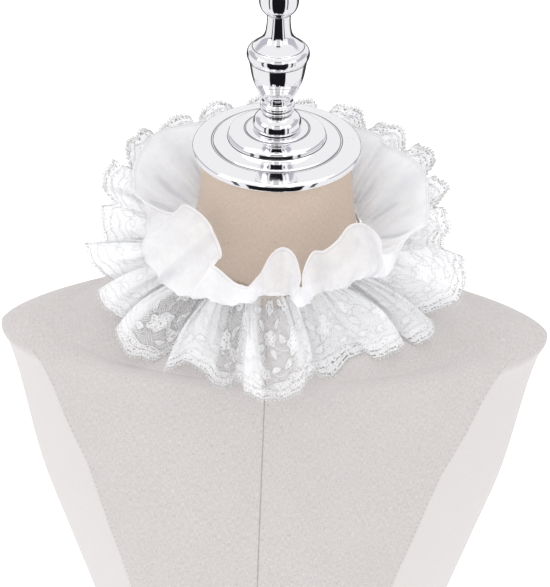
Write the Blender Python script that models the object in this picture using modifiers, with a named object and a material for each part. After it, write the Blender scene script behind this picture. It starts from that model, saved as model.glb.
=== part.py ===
"""Two-layer gathered ruff collar (lace frill under an organza frill, both on one
narrow neck band) worn by a limbless dress form with a turned chrome neck cap.

Metres, +Z up, front of the garment towards -Y.  All named sizes are millimetres
and are scaled once, in make_node().  Heights are written as drops below the rim
plane of the neck cap, because every level was taken from that plane.
"""
import bmesh
import bpy
import math
import numpy as np

for old in list(bpy.data.objects):
    bpy.data.objects.remove(old, do_unlink=True)

# ------------------------------------------------------------------ sizes, mm
RIM_Z = 500.0          # rim plane of the neck cap above the flat base
AXIS_Y = 9.2           # the neck axis lies this far behind the middle of the form
NECKLINE_R = 63.0      # radius of the gathering line
NECKLINE_DROP = 70.0   # mean drop of the gathering line
NECKLINE_TILT = 9.0    # it is this much lower in front and higher behind
WALL = 1.2             # cloth wall of both frills
CLEAR = 2.6            # cloth centre to form, least
SEAM_GAP = 0.3
COLLAR_TURN = -1.8     # the collar sits turned this far on the neck, degrees


# --------------------------------------------------------------- small helpers
def colour(name, rgba, rough=0.8, metal=0.0):
    m = bpy.data.materials.new(name)
    m.use_nodes = True
    b = m.node_tree.nodes["Principled BSDF"]
    b.inputs["Base Color"].default_value = rgba
    b.inputs["Roughness"].default_value = rough
    b.inputs["Metallic"].default_value = metal
    m.diffuse_color = rgba
    return m


def new_object(name, mesh, material):
    """one named object on the neck axis, its zero on the rim plane of the cap"""
    mesh.materials.append(material)
    mesh.shade_smooth()
    ob = bpy.data.objects.new(name, mesh)
    ob.location = (0.0, AXIS_Y / 1000.0, RIM_Z / 1000.0)
    parts.objects.link(ob)
    return ob


def turned(name, profile, steps, material):
    """body turned about the neck axis; profile rows are (radius, height) in mm,
    from the lowest to the highest, and both ends are closed on the axis"""
    rows = [(0.0, profile[0][1])] + list(profile) + [(0.0, profile[-1][1])]
    rows.reverse()
    mesh = bpy.data.meshes.new(name)
    mesh.from_pydata([(r / 1000.0, 0.0, h / 1000.0) for r, h in rows],
                     [(k, k + 1) for k in range(len(rows) - 1)], [])
    ob = new_object(name, mesh, material)
    screw = ob.modifiers.new("turn", 'SCREW')
    screw.axis = 'Z'
    screw.angle = 2 * math.pi
    screw.steps = steps
    screw.render_steps = steps
    screw.use_merge_vertices = True
    screw.merge_threshold = 0.00001
    screw.use_smooth_shade = True
    return ob


def lofted(name, rings, material):
    """closed body through equal rings of unlike ovals, in mm, each given
    counter-clockwise from above, from the lowest ring to the highest"""
    bm = bmesh.new()
    rows = [[bm.verts.new(p / 1000.0) for p in ring] for ring in rings]
    n = len(rings[0])
    for low, high in zip(rows[:-1], rows[1:]):
        for j in range(n):
            k = (j + 1) % n
            bm.faces.new((low[j], low[k], high[k], high[j]))
    for row, level in ((rows[0], rings[0][0][2]), (rows[-1], rings[-1][0][2])):
        middle = bm.verts.new((0.0, 0.0, level / 1000.0))
        for j in range(n):
            bm.faces.new((middle, row[(j + 1) % n], row[j]))
    bmesh.ops.recalc_face_normals(bm, faces=bm.faces)
    mesh = bpy.data.meshes.new(name)
    bm.to_mesh(mesh)
    bm.free()
    return new_object(name, mesh, material)


def cloth(name, sheet, wall, material):
    """a sheet that closes on itself round the neck, given as rows of points in
    mm from the seam outwards, made a wall of even thickness"""
    count, cols = sheet.shape[:2]
    points = [tuple(p) for p in sheet.reshape(-1, 3) / 1000.0]
    faces = []
    for i in range(count):
        j = (i + 1) % count
        for k in range(cols - 1):
            faces.append((i * cols + k, i * cols + k + 1, j * cols + k + 1, j * cols + k))
    mesh = bpy.data.meshes.new(name)
    mesh.from_pydata(points, [], faces)
    ob = new_object(name, mesh, material)
    solid = ob.modifiers.new("wall", 'SOLIDIFY')
    solid.thickness = wall / 1000.0
    solid.offset = 0.0
    solid.use_rim = True
    return ob


def smooth_profile(rows, per):
    """Catmull-Rom through the rows of a turned profile; a repeated row is a
    sharp corner"""
    rows = [np.array(r, float) for r in rows]
    out = []
    for i in range(len(rows) - 1):
        a, b = rows[i], rows[i + 1]
        if np.allclose(a, b):
            continue
        before = rows[i - 1] if i > 0 and not np.allclose(rows[i - 1], a) else a
        after = rows[i + 2] if i + 2 < len(rows) and not np.allclose(rows[i + 2], b) else b
        for k in range(per):
            t = k / per
            out.append(0.5 * ((2 * a) + (b - before) * t
                              + (2 * before - 5 * a + 4 * b - after) * t * t
                              + (-before + 3 * a - 3 * b + after) * t ** 3))
    out.append(rows[-1])
    return [tuple(p) for p in out]


# ----------------------------------------------------------------- dress form
# one row per level of the torso
# drop mm, half_width mm, front mm, back mm, power of the oval
TORSO_LEVELS = [
    (92.0, 62.5, 61.5, 62.0, 2.00),
    (98.0, 79.0, 64.0, 66.0, 2.00),
    (108.0, 101.0, 67.0, 71.0, 2.05),
    (122.0, 121.0, 71.0, 77.0, 2.10),
    (136.0, 139.0, 76.0, 83.0, 2.10),
    (142.8, 155.0, 78.5, 84.8, 2.10),
    (144.1, 168.0, 79.0, 85.3, 2.05),
    (145.0, 180.0, 79.4, 85.7, 2.00),
    (147.0, 192.0, 80.1, 86.4, 2.00),
    (149.5, 199.5, 81.1, 87.2, 2.00),
    (153.0, 201.0, 82.4, 88.2, 2.00),
    (161.6, 196.5, 85.6, 90.4, 2.05),
    (183.0, 190.5, 93.6, 95.4, 2.20),
    (202.0, 186.5, 100.7, 99.4, 2.30),
    (250.0, 176.5, 118.5, 109.0, 2.40),
    (300.0, 160.5, 133.0, 112.0, 2.40),
    (350.0, 146.0, 136.0, 111.0, 2.35),
    (400.0, 134.0, 128.0, 106.0, 2.30),
    (450.0, 124.5, 115.0, 100.0, 2.25),
    (500.0, 118.0, 106.0, 97.0, 2.20),
]
TORSO_ROUND = 64
# the torso stands turned a little to its own left on the neck's axis
TORSO_TURN = math.radians(3.0)


def torso_at(drop):
    """half width, front, back and power of the oval at a drop"""
    t = np.array(TORSO_LEVELS)
    return [np.interp(drop, t[:, 0], t[:, k]) for k in (1, 2, 3, 4)]


def torso_power(drop, power, y):
    """behind the side seam the edge of the shoulder falls away to a corner"""
    cut = np.interp(drop, [136.0, 144.0, 154.0, 183.0, 202.0], [0.0, 0.4, 0.4, 0.2, 0.0])
    return np.where(y < 0, power, power - cut)


def torso_ring(drop, count=TORSO_ROUND):
    half, front, back, power = torso_at(drop)
    ring = []
    for j in range(count):
        a = 2 * math.pi * j / count
        s, c = math.sin(a), -math.cos(a)
        depth = front if c < 0 else back
        e = 2.0 / float(torso_power(drop, power, c))
        ring.append((half * math.copysign(abs(s) ** e, s),
                     depth * math.copysign(abs(c) ** e, c), -drop))
    x, y, z = np.array(ring).T
    c, s = math.cos(TORSO_TURN), math.sin(TORSO_TURN)
    return np.stack([x * c - y * s, x * s + y * c, z], 1)


def torso_top(x, y):
    """height of the shoulder and chest surface over the points x, y"""
    c, s = math.cos(TORSO_TURN), math.sin(TORSO_TURN)
    x, y = x * c + y * s, y * c - x * s
    lo = np.full(np.shape(x), 92.0)
    hi = np.full(np.shape(x), 500.0)
    for _ in range(26):
        mid = 0.5 * (lo + hi)
        half, front, back, power = torso_at(mid)
        depth = np.where(y < 0, front, back)
        power = torso_power(mid, power, y)
        inside = (np.abs(x) / half) ** power + (np.abs(y) / depth) ** power < 1.0
        hi = np.where(inside, mid, hi)
        lo = np.where(inside, lo, mid)
    return -hi


# --------------------------------------------------------------------- frills
# one row per turn of the hem: where the cloth leaves the neckline, where its
# hem lies, and how far the cloth crowns between them (minus: it sags)
# neck_deg, hem_deg, hem_reach mm, hem_drop mm, crown mm      (0 deg = front)
LACE_FOLDS = [
    (-178, -179, 111, 35, 0), (-173, -175, 117, 27, 3), (-166, -165, 119, 25, 3),
    (-161, -160, 112, 37, 0), (-156, -156, 118, 28, 3), (-148, -147, 121, 29, 3),
    (-143, -142, 111, 38, 0), (-138, -138, 115, 28, 3), (-130, -129, 120, 31, 3),
    (-125, -125, 113, 39, 0), (-120, -120, 120, 20, 3), (-113, -112, 122, 27, 3),
    (-108, -107, 115, 43, 0), (-103, -103, 124, 36, 3), (-96, -95, 126, 43, 3),
    (-91, -92, 116, 57, 0), (-87, -89, 124, 58, 3), (-82, -84, 123, 67, 3),
    (-78, -81, 117, 79, 0), (-74, -79, 133, 72, 4), (-69, -75, 131, 82, 4),
    (-64, -72, 116, 96, 0), (-60, -69, 130, 99, 6), (-55, -65, 125, 109, 5),
    (-51, -62, 107, 121, 0), (-47, -59, 123, 118, 8), (-43, -54, 121, 129, 7),
    (-39, -49, 109, 135, 3), (-36, -42, 97, 139, 0), (-33, -35, 115, 126, 6),
    (-30, -33, 101, 128, 8), (-27, -29, 94, 132, 5), (-24, -23, 92, 138, -2),
    (-21, -16, 99, 137, -2), (-17, -12, 89, 139, -2), (-13, -8, 98, 130, 6),
    (-9, -3, 113, 126, 5), (-4, 2, 119, 126, -3), (2, 9, 119, 128, -5),
    (8, 15, 110, 126, 0), (13, 20, 100, 123, 5), (18, 24, 90, 130, 3),
    (23, 31, 87, 138, -2), (29, 41, 86, 138, -3), (35, 50, 92, 135, 0),
    (41, 56, 103, 127, 6), (46, 62, 110, 119, 8), (51, 65, 100, 130, 2),
    (55, 69, 113, 129, 2), (59, 72, 123, 117, 6), (64, 75, 119, 113, 4),
    (68, 78, 112, 116, 0), (72, 81, 128, 107, 5), (77, 82, 136, 95, 7),
    (82, 84, 136, 81, 6), (87, 87, 133, 73, 5), (91, 90, 117, 72, 0),
    (95, 92, 122, 55, 3), (100, 96, 119, 47, 2), (104, 100, 112, 51, 0),
    (108, 102, 121, 38, 3), (113, 108, 119, 35, 3), (117, 113, 112, 42, 0),
    (121, 116, 120, 28, 3), (128, 125, 119, 27, 3), (133, 130, 111, 38, 0),
    (137, 135, 119, 29, 3), (145, 144, 115, 26, 3), (150, 149, 109, 37, 0),
    (155, 154, 116, 25, 3), (163, 163, 117, 25, 3), (168, 168, 110, 36, 0),
    (172, 173, 118, 27, 3), (178, 178, 115, 25, 3),
]
ORGANZA_FOLDS = [
    (-176, -176, 83, 16, -3), (-166, -166, 93, 21, -3), (-156, -157, 82, 15, -3),
    (-147, -147, 93, 21, -3), (-138, -138, 82, 15, -3), (-129, -128, 92, 18, -3),
    (-121, -118, 103, 20, -3), (-112, -109, 106, 27, -2), (-103, -100, 106, 34, -1),
    (-94, -87, 99, 43, 1), (-86, -76.5, 87, 41, 5), (-77, -62, 79, 35, 10),
    (-69, -52, 73, 23, 15), (-60, -37, 71, 25, 16), (-52, -25, 78.5, 30, 15),
    (-44, -20, 85, 35, 13), (-37, -19.5, 88.5, 38, 11), (-30, -20.5, 98, 37.5, 11),
    (-23, -15, 101, 39.5, 11), (-15, -8.8, 104, 45, 11), (-9, -4, 103, 48, 10),
    (-4, -1, 93, 44, 9), (1, 4, 79, 37, 9), (6, 10, 74, 34, 9),
    (11, 15.5, 81, 37, 8), (15, 16.5, 94, 46, 7), (19, 12, 106, 54, 6),
    (23, 15.5, 103, 51, 6), (27, 18.4, 90, 43.5, 7), (31, 24.5, 77, 38, 8),
    (36, 32, 75, 40, 9), (41, 40, 76, 34, 9), (47, 49, 74, 28, 10),
    (53, 57, 79, 30, 9), (58, 58, 90, 37, 7), (62, 53, 98, 42, 6),
    (67, 57, 102, 43, 5), (73, 65, 100, 42, 4), (80, 74, 102, 44, 2),
    (87, 83, 107, 46, 0), (95, 93, 108, 43, -1), (103, 102, 109, 36, -2),
    (111, 110, 107, 29, -3), (118, 116, 97, 22, -3), (125, 122, 86, 17, -3),
    (133, 134, 94, 21, -3), (142, 143, 82, 15, -3), (152, 153, 93, 21, -3),
    (162, 163, 82, 15, -3), (172, 173, 93, 21, -3),
]


def neckline(deg):
    a = np.radians(deg)
    return np.stack([NECKLINE_R * np.sin(a), -NECKLINE_R * np.cos(a),
                     -NECKLINE_DROP - NECKLINE_TILT * np.cos(a)], -1)


def around(values, at, turn=0.0):
    """closed Catmull-Rom through the rows; 'at' counts in rows"""
    v = np.asarray(values, float)
    n = len(v)
    i = np.floor(at).astype(int)
    t = (at - i)[:, None] if v.ndim > 1 else at - i
    def row(k):
        return v[k % n] + turn * (k // n) if turn else v[k % n]
    a, b, c, d = row(i - 1), row(i), row(i + 1), row(i + 2)
    return 0.5 * (2 * b + (c - a) * t + (2 * a - 5 * b + 4 * c - d) * t * t
                  + (3 * b - a - 3 * c + d) * t ** 3)


def parting(x, y):
    """height of the cone that keeps the two frills apart: flat in front, and
    rising at the sides and behind, where both frills stand up"""
    a = np.arctan2(x, -y)
    off = (np.abs(np.degrees(a)) - 105.0) / 30.0
    lean = np.radians(12.0 - 28.0 * np.cos(a) + 10.0 * np.exp(-off * off))
    reach = np.hypot(x, y) - NECKLINE_R
    level = -NECKLINE_DROP - NECKLINE_TILT * np.cos(a)
    return level + reach * np.tan(lean), 1.0 / np.cos(lean)


def soft_low(a, b, soft=1.0):
    """the lower of two heights, rounded where they meet"""
    return np.minimum(a, b) - soft * np.exp(-np.abs(a - b) / soft) * 0.5


# the organza puffs out over the lace before it rises: degrees from the front, mm
PUFF = [(-180, 0), (-120, 0), (-100, 6), (-80, 17), (-60, 22), (-44, 20), (-28, 9), (-12, 2),
        (0, 2), (12, 3), (25, 6), (45, 11), (62, 11), (85, 5), (110, 0), (180, 0)]


def frill_sheet(folds, count, across, lift, crown_up):
    """middle surface of one frill: count x (across + 1) points"""
    t = np.array(folds, float)
    hem_a = np.radians(t[:, 1] + COLLAR_TURN)
    hem = np.stack([t[:, 2] * np.sin(hem_a), -t[:, 2] * np.cos(hem_a), -t[:, 3]], 1)
    # equal steps along the hem
    fine = np.arange(0, len(t), 1 / 24)
    path = around(hem, fine)
    step = np.linalg.norm(np.roll(path, -1, 0) - path, axis=1)
    run = np.concatenate([[0], np.cumsum(step)])
    at = np.interp(np.arange(count) * run[-1] / count, run,
                   np.concatenate([fine, [len(t)]]))
    out = around(hem, at)
    neck_deg = around(t[:, 0], at, 360.0) + COLLAR_TURN
    crown = around(t[:, 4], at)
    root = neckline(neck_deg)
    root[:, 2] += lift
    chord = out - root
    unit = chord / np.linalg.norm(chord, axis=1)[:, None]
    if crown_up:
        push = np.tile([0.0, 0.0, 1.0], (count, 1))
    else:
        push = np.stack([out[:, 0] + root[:, 0], out[:, 1] + root[:, 1],
                         np.zeros(count)], 1)
        push /= np.linalg.norm(push, axis=1)[:, None]
    push -= unit * np.sum(push * unit, axis=1)[:, None]
    push /= np.linalg.norm(push, axis=1)[:, None]
    control = 0.5 * (root + out) + 2.0 * push * crown[:, None]
    sheet = np.zeros((count, across + 1, 3))
    for k in range(across + 1):
        s = k / across
        sheet[:, k] = (1 - s) ** 2 * root + 2 * s * (1 - s) * control + s * s * out
        if not crown_up:
            puff = np.array(PUFF, float)
            swell = np.interp((neck_deg + 180.0) % 360.0 - 180.0, puff[:, 0], puff[:, 1])
            swell = swell[:, None] * math.sin(math.pi * s ** 0.75) ** 1.2 if 0 < k < across else 0.0
            a = np.radians(neck_deg)
            sheet[:, k] += swell * np.stack([np.sin(a), -np.cos(a), np.full(count, -0.45)], 1)
    cone, slant = parting(sheet[..., 0], sheet[..., 1])
    if crown_up:
        sheet[:, 1:, 2] = soft_low(sheet[..., 2], cone - 1.3 * slant)[:, 1:]
    else:
        sheet[:, 1:, 2] = -soft_low(-sheet[..., 2], -(cone + 1.3 * slant))[:, 1:]
    rest = torso_top(sheet[..., 0], sheet[..., 1]) + CLEAR
    sheet[..., 2] = np.maximum(sheet[..., 2], rest)
    return sheet


# ------------------------------------------------------------------ the object
parts = bpy.data.collections.new("ruff_collar_on_dress_form")
bpy.context.scene.collection.children.link(parts)
cutters = bpy.data.collections.new("cutters")
bpy.context.scene.collection.children.link(cutters)
cutters.hide_render = True

linen = colour("linen", (0.66, 0.63, 0.61, 1), 0.9)
neck_linen = colour("neck_linen", (0.52, 0.46, 0.38, 1), 0.9)
chrome = colour("chrome", (0.85, 0.85, 0.87, 1), 0.08, 1.0)
lace = colour("lace", (0.93, 0.93, 0.92, 1), 0.85)
organza = colour("organza", (0.96, 0.96, 0.97, 1), 0.6)
tape = colour("tape", (0.94, 0.94, 0.93, 1), 0.8)

# torso: levels between the rows are added so that the shoulders stay round
levels = []
for upper, lower in zip(TORSO_LEVELS[:-1], TORSO_LEVELS[1:]):
    parts_in = 2 if lower[0] - upper[0] > 20 else 1
    for k in range(parts_in):
        levels.append(upper[0] + (lower[0] - upper[0]) * k / parts_in)
levels.append(TORSO_LEVELS[-1][0])
rings = [torso_ring(d) for d in reversed(levels)]
lofted("form_torso", rings, linen)

# neck: slightly waisted under the cap, flaring into the shoulders
NECK_PROFILE = [(60.6, -91.7), (60.4, -84.0), (59.2, -72.0), (57.6, -60.0),
                (55.2, -44.0), (53.4, -28.0), (52.8, -12.0), (52.8, -0.3)]
turned("form_neck", smooth_profile(NECK_PROFILE, 1), 60, neck_linen)

# cap: rim, flat ogee, step, low dome and the seat of the finial
CAP_PROFILE = [(58.0, 0.0), (58.6, 1.1), (58.6, 3.3), (57.4, 4.9), (50.0, 6.5),
               (45.2, 7.4), (44.4, 7.2), (43.4, 7.9), (38.0, 9.3), (34.6, 10.6),
               (34.0, 11.4), (33.6, 13.6), (32.4, 14.7), (28.0, 15.9), (23.0, 16.7),
               (22.2, 16.5), (21.4, 17.0), (17.6, 17.6)]
turned("neck_cap", CAP_PROFILE, 64, chrome)

# finial: bell foot, rings, urn, waisted stem and a knob
FINIAL_PROFILE = [
    (14.6, 17.9), (16.4, 18.6), (17.0, 20.4), (16.6, 23.4), (15.2, 26.2),
    (12.6, 28.4), (10.2, 29.6), (10.2, 30.4), (11.4, 31.0), (11.6, 32.2),
    (10.4, 33.2), (10.4, 33.8), (11.7, 34.6), (11.9, 36.4), (10.6, 37.6),
    (9.8, 39.2), (10.6, 41.2), (12.8, 45.0), (15.6, 51.0), (17.8, 58.0),
    (19.2, 66.0), (19.9, 70.0), (21.0, 72.2), (21.4, 74.6), (20.6, 77.4),
    (18.4, 79.6), (17.6, 79.8), (14.6, 82.4), (11.2, 86.0), (9.2, 90.0),
    (8.3, 95.0), (8.0, 100.0), (8.3, 104.6), (10.6, 106.2), (12.8, 110.0),
    (13.4, 115.0), (12.8, 120.0), (10.4, 124.6), (6.4, 127.6), (2.2, 128.6)]
turned("cap_finial", FINIAL_PROFILE, 40, chrome)

# the two frills and the band that takes them
LACE_ROUND, LACE_ACROSS = 232, 4
ORGANZA_ROUND, ORGANZA_ACROSS = 200, 4
cloth("lace_frill", frill_sheet(LACE_FOLDS, LACE_ROUND, LACE_ACROSS, -1.5, True),
      WALL, lace)
cloth("organza_frill",
      frill_sheet(ORGANZA_FOLDS, ORGANZA_ROUND, ORGANZA_ACROSS, 1.1, False),
      WALL, organza)

BAND_ROUND, BAND_HALF, BAND_WALL = 72, 2.6, 1.0
band_radius = NECKLINE_R - WALL / 2 - SEAM_GAP - 0.2 - BAND_WALL / 2
band = np.zeros((BAND_ROUND, 2, 3))
for j in range(BAND_ROUND):
    a = 2 * math.pi * j / BAND_ROUND
    middle = -NECKLINE_DROP - NECKLINE_TILT * math.cos(a)
    for k, up in enumerate((-BAND_HALF, BAND_HALF)):
        band[j, k] = (band_radius * math.sin(a), -band_radius * math.cos(a), middle + up)
cloth("neck_band", band, BAND_WALL, tape)
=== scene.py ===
"""Looks of a two-layer gathered ruff collar (lace frill under an organza frill) on a
linen-covered dress form with a turned chrome neck cap and finial."""
import bpy
import math
import numpy as np
from mathutils import Matrix


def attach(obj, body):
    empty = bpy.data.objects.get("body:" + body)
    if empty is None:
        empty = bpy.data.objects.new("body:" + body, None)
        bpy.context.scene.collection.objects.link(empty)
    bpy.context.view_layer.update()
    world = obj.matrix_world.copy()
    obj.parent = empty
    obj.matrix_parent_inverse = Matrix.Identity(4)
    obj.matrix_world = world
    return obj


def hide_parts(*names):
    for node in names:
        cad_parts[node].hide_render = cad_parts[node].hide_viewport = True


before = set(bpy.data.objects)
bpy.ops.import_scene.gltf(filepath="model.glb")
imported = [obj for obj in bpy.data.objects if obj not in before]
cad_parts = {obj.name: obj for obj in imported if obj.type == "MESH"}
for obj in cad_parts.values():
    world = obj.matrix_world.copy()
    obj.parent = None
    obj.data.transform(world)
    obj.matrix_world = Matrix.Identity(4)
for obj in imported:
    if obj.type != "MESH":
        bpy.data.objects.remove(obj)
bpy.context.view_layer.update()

# ------------------------------------------------------------------ sizes, mm
RIM_Z = 500.0
AXIS_Y = 9.2
NECKLINE_R = 63.0
NECKLINE_DROP = 70.0
NECKLINE_TILT = 9.0
COLLAR_TURN = -1.8
CLEAR = 2.2

TORSO_LEVELS = [
    (92.0, 62.5, 61.5, 62.0, 2.00),
    (98.0, 79.0, 64.0, 66.0, 2.00),
    (108.0, 101.0, 67.0, 71.0, 2.05),
    (122.0, 121.0, 71.0, 77.0, 2.10),
    (136.0, 139.0, 76.0, 83.0, 2.10),
    (142.8, 155.0, 78.5, 84.8, 2.10),
    (144.1, 168.0, 79.0, 85.3, 2.05),
    (145.0, 180.0, 79.4, 85.7, 2.00),
    (147.0, 192.0, 80.1, 86.4, 2.00),
    (149.5, 199.5, 81.1, 87.2, 2.00),
    (153.0, 201.0, 82.4, 88.2, 2.00),
    (161.6, 196.5, 85.6, 90.4, 2.05),
    (183.0, 190.5, 93.6, 95.4, 2.20),
    (202.0, 186.5, 100.7, 99.4, 2.30),
    (250.0, 176.5, 118.5, 109.0, 2.40),
    (300.0, 160.5, 133.0, 112.0, 2.40),
    (350.0, 146.0, 136.0, 111.0, 2.35),
    (400.0, 134.0, 128.0, 106.0, 2.30),
    (450.0, 124.5, 115.0, 100.0, 2.25),
    (500.0, 118.0, 106.0, 97.0, 2.20),
]
# the seam between the front and each side panel: drop mm, distance from middle mm
PANEL_SEAM = [(140, 206), (143, 196), (144.5, 187), (146, 178.5), (148.5, 171), (152, 166), (160, 160.5),
              (171, 153.5), (190, 144), (206.5, 134), (217.5, 127), (240, 117.5), (259, 110.5),
              (288, 99), (305, 94), (350, 85), (400, 79), (450, 74), (500, 71)]

# neck_deg, hem_deg, hem_reach mm, hem_drop mm, crown mm      (0 deg = front)
LACE_FOLDS = [
    (-178, -179, 111, 35, 0), (-173, -175, 117, 27, 3), (-166, -165, 119, 25, 3),
    (-161, -160, 112, 37, 0), (-156, -156, 118, 28, 3), (-148, -147, 121, 29, 3),
    (-143, -142, 111, 38, 0), (-138, -138, 115, 28, 3), (-130, -129, 120, 31, 3),
    (-125, -125, 113, 39, 0), (-120, -120, 120, 20, 3), (-113, -112, 122, 27, 3),
    (-108, -107, 115, 43, 0), (-103, -103, 124, 36, 3), (-96, -95, 126, 43, 3),
    (-91, -92, 116, 57, 0), (-87, -89, 124, 58, 3), (-82, -84, 123, 67, 3),
    (-78, -81, 117, 79, 0), (-74, -79, 133, 72, 4), (-69, -75, 131, 82, 4),
    (-64, -72, 116, 96, 0), (-60, -69, 130, 99, 6), (-55, -65, 125, 109, 5),
    (-51, -62, 107, 121, 0), (-47, -59, 123, 118, 8), (-43, -54, 121, 129, 7),
    (-39, -49, 109, 135, 3), (-36, -42, 97, 139, 0), (-33, -35, 115, 126, 6),
    (-30, -33, 101, 128, 8), (-27, -29, 94, 132, 5), (-24, -23, 92, 138, -2),
    (-21, -16, 99, 137, -2), (-17, -12, 89, 139, -2), (-13, -8, 98, 130, 6),
    (-9, -3, 113, 126, 5), (-4, 2, 119, 126, -3), (2, 9, 119, 128, -5),
    (8, 15, 110, 126, 0), (13, 20, 100, 123, 5), (18, 24, 90, 130, 3),
    (23, 31, 87, 138, -2), (29, 41, 86, 138, -3), (35, 50, 92, 135, 0),
    (41, 56, 103, 127, 6), (46, 62, 110, 119, 8), (51, 65, 100, 130, 2),
    (55, 69, 113, 129, 2), (59, 72, 123, 117, 6), (64, 75, 119, 113, 4),
    (68, 78, 112, 116, 0), (72, 81, 128, 107, 5), (77, 82, 136, 95, 7),
    (82, 84, 136, 81, 6), (87, 87, 133, 73, 5), (91, 90, 117, 72, 0),
    (95, 92, 122, 55, 3), (100, 96, 119, 47, 2), (104, 100, 112, 51, 0),
    (108, 102, 121, 38, 3), (113, 108, 119, 35, 3), (117, 113, 112, 42, 0),
    (121, 116, 120, 28, 3), (128, 125, 119, 27, 3), (133, 130, 111, 38, 0),
    (137, 135, 119, 29, 3), (145, 144, 115, 26, 3), (150, 149, 109, 37, 0),
    (155, 154, 116, 25, 3), (163, 163, 117, 25, 3), (168, 168, 110, 36, 0),
    (172, 173, 118, 27, 3), (178, 178, 115, 25, 3),
]
ORGANZA_FOLDS = [
    (-176, -176, 83, 16, -3), (-166, -166, 93, 21, -3), (-156, -157, 82, 15, -3),
    (-147, -147, 93, 21, -3), (-138, -138, 82, 15, -3), (-129, -128, 92, 18, -3),
    (-121, -118, 103, 20, -3), (-112, -109, 106, 27, -2), (-103, -100, 106, 34, -1),
    (-94, -87, 99, 43, 1), (-86, -76.5, 87, 41, 5), (-77, -62, 79, 35, 10),
    (-69, -52, 73, 23, 15), (-60, -37, 71, 25, 16), (-52, -25, 78.5, 30, 15),
    (-44, -20, 85, 35, 13), (-37, -19.5, 88.5, 38, 11), (-30, -20.5, 98, 37.5, 11),
    (-23, -15, 101, 39.5, 11), (-15, -8.8, 104, 45, 11), (-9, -4, 103, 48, 10),
    (-4, -1, 93, 44, 9), (1, 4, 79, 37, 9), (6, 10, 74, 34, 9),
    (11, 15.5, 81, 37, 8), (15, 16.5, 94, 46, 7), (19, 12, 106, 54, 6),
    (23, 15.5, 103, 51, 6), (27, 18.4, 90, 43.5, 7), (31, 24.5, 77, 38, 8),
    (36, 32, 75, 40, 9), (41, 40, 76, 34, 9), (47, 49, 74, 28, 10),
    (53, 57, 79, 30, 9), (58, 58, 90, 37, 7), (62, 53, 98, 42, 6),
    (67, 57, 102, 43, 5), (73, 65, 100, 42, 4), (80, 74, 102, 44, 2),
    (87, 83, 107, 46, 0), (95, 93, 108, 43, -1), (103, 102, 109, 36, -2),
    (111, 110, 107, 29, -3), (118, 116, 97, 22, -3), (125, 122, 86, 17, -3),
    (133, 134, 94, 21, -3), (142, 143, 82, 15, -3), (152, 153, 93, 21, -3),
    (162, 163, 82, 15, -3), (172, 173, 93, 21, -3),
]

# how close the lace lies, 0 a single net to 1 doubled, at places in mm along its hem
# from the middle of the back, going by the wearer's right
LACE_DOUBLE = [
    (0, 0.90), (180, 0.90), (240, 0.93), (300, 0.98), (360, 0.98), (444, 0.98), (450, 0.24),
    (475, 0.12), (506, 0.20), (511, 0.97), (549, 0.97), (556, 0.10), (591, 0.14), (597, 0.97),
    (620, 0.97), (624, 0.02), (648, 0.06), (658, 0.80), (668, 0.93), (684, 0.90), (692, 0.80),
    (712, 0.84), (722, 0.95), (752, 0.95), (760, 0.74), (778, 0.84), (800, 0.94), (815, 0.84),
    (850, 0.95), (930, 0.96), (1000, 0.92), (1060, 0.90), (1191, 0.90),
]

# how many eyelets are painted dark as shade, and how much painted shade darkens the lace, at the same places
LACE_EYELET_SHADE = [(0, 2.2), (190, 2.2), (250, 1.2), (330, 0.35), (440, 0.30), (455, 0.9), (600, 0.8),
               (700, 1.0), (820, 0.9), (900, 1.4), (980, 2.2), (1191, 2.2)]
LACE_BACK_SHADE = [(0, 0.55), (200, 0.50), (270, 0.15), (330, 0.0), (820, 0.0), (930, 0.10), (1010, 0.50),
             (1191, 0.55)]

# ------------------------------------------------------------------- camera
CAMERA_PLACE = (0.08432, -1.20581 + AXIS_Y / 1000.0, 0.70634 + RIM_Z / 1000.0)
CAMERA_PITCH = 34.419      # degrees below the horizon
CAMERA_YAW = 3.984         # degrees, turned to the left of +Y
CAMERA_ROLL = 0.9
CAMERA_LENS = 131.61       # on a 36 mm wide sensor


def make_camera():
    p, y, r = (math.radians(v) for v in (CAMERA_PITCH, CAMERA_YAW, CAMERA_ROLL))
    forward = np.array([-math.sin(y) * math.cos(p), math.cos(y) * math.cos(p), -math.sin(p)])
    right = np.array([math.cos(y), math.sin(y), 0.0])
    up = np.cross(right, forward)
    right, up = (right * math.cos(r) + up * math.sin(r), up * math.cos(r) - right * math.sin(r))
    data = bpy.data.cameras.new("camera")
    data.sensor_fit = 'HORIZONTAL'
    data.sensor_width = 36.0
    data.lens = CAMERA_LENS
    data.clip_start, data.clip_end = 0.05, 60.0
    cam = bpy.data.objects.new("camera", data)
    bpy.context.scene.collection.objects.link(cam)
    cam.matrix_world = Matrix([[right[k], up[k], -forward[k], CAMERA_PLACE[k]] for k in range(3)]
                              + [[0, 0, 0, 1]])
    bpy.context.scene.camera = cam


make_camera()


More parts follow.
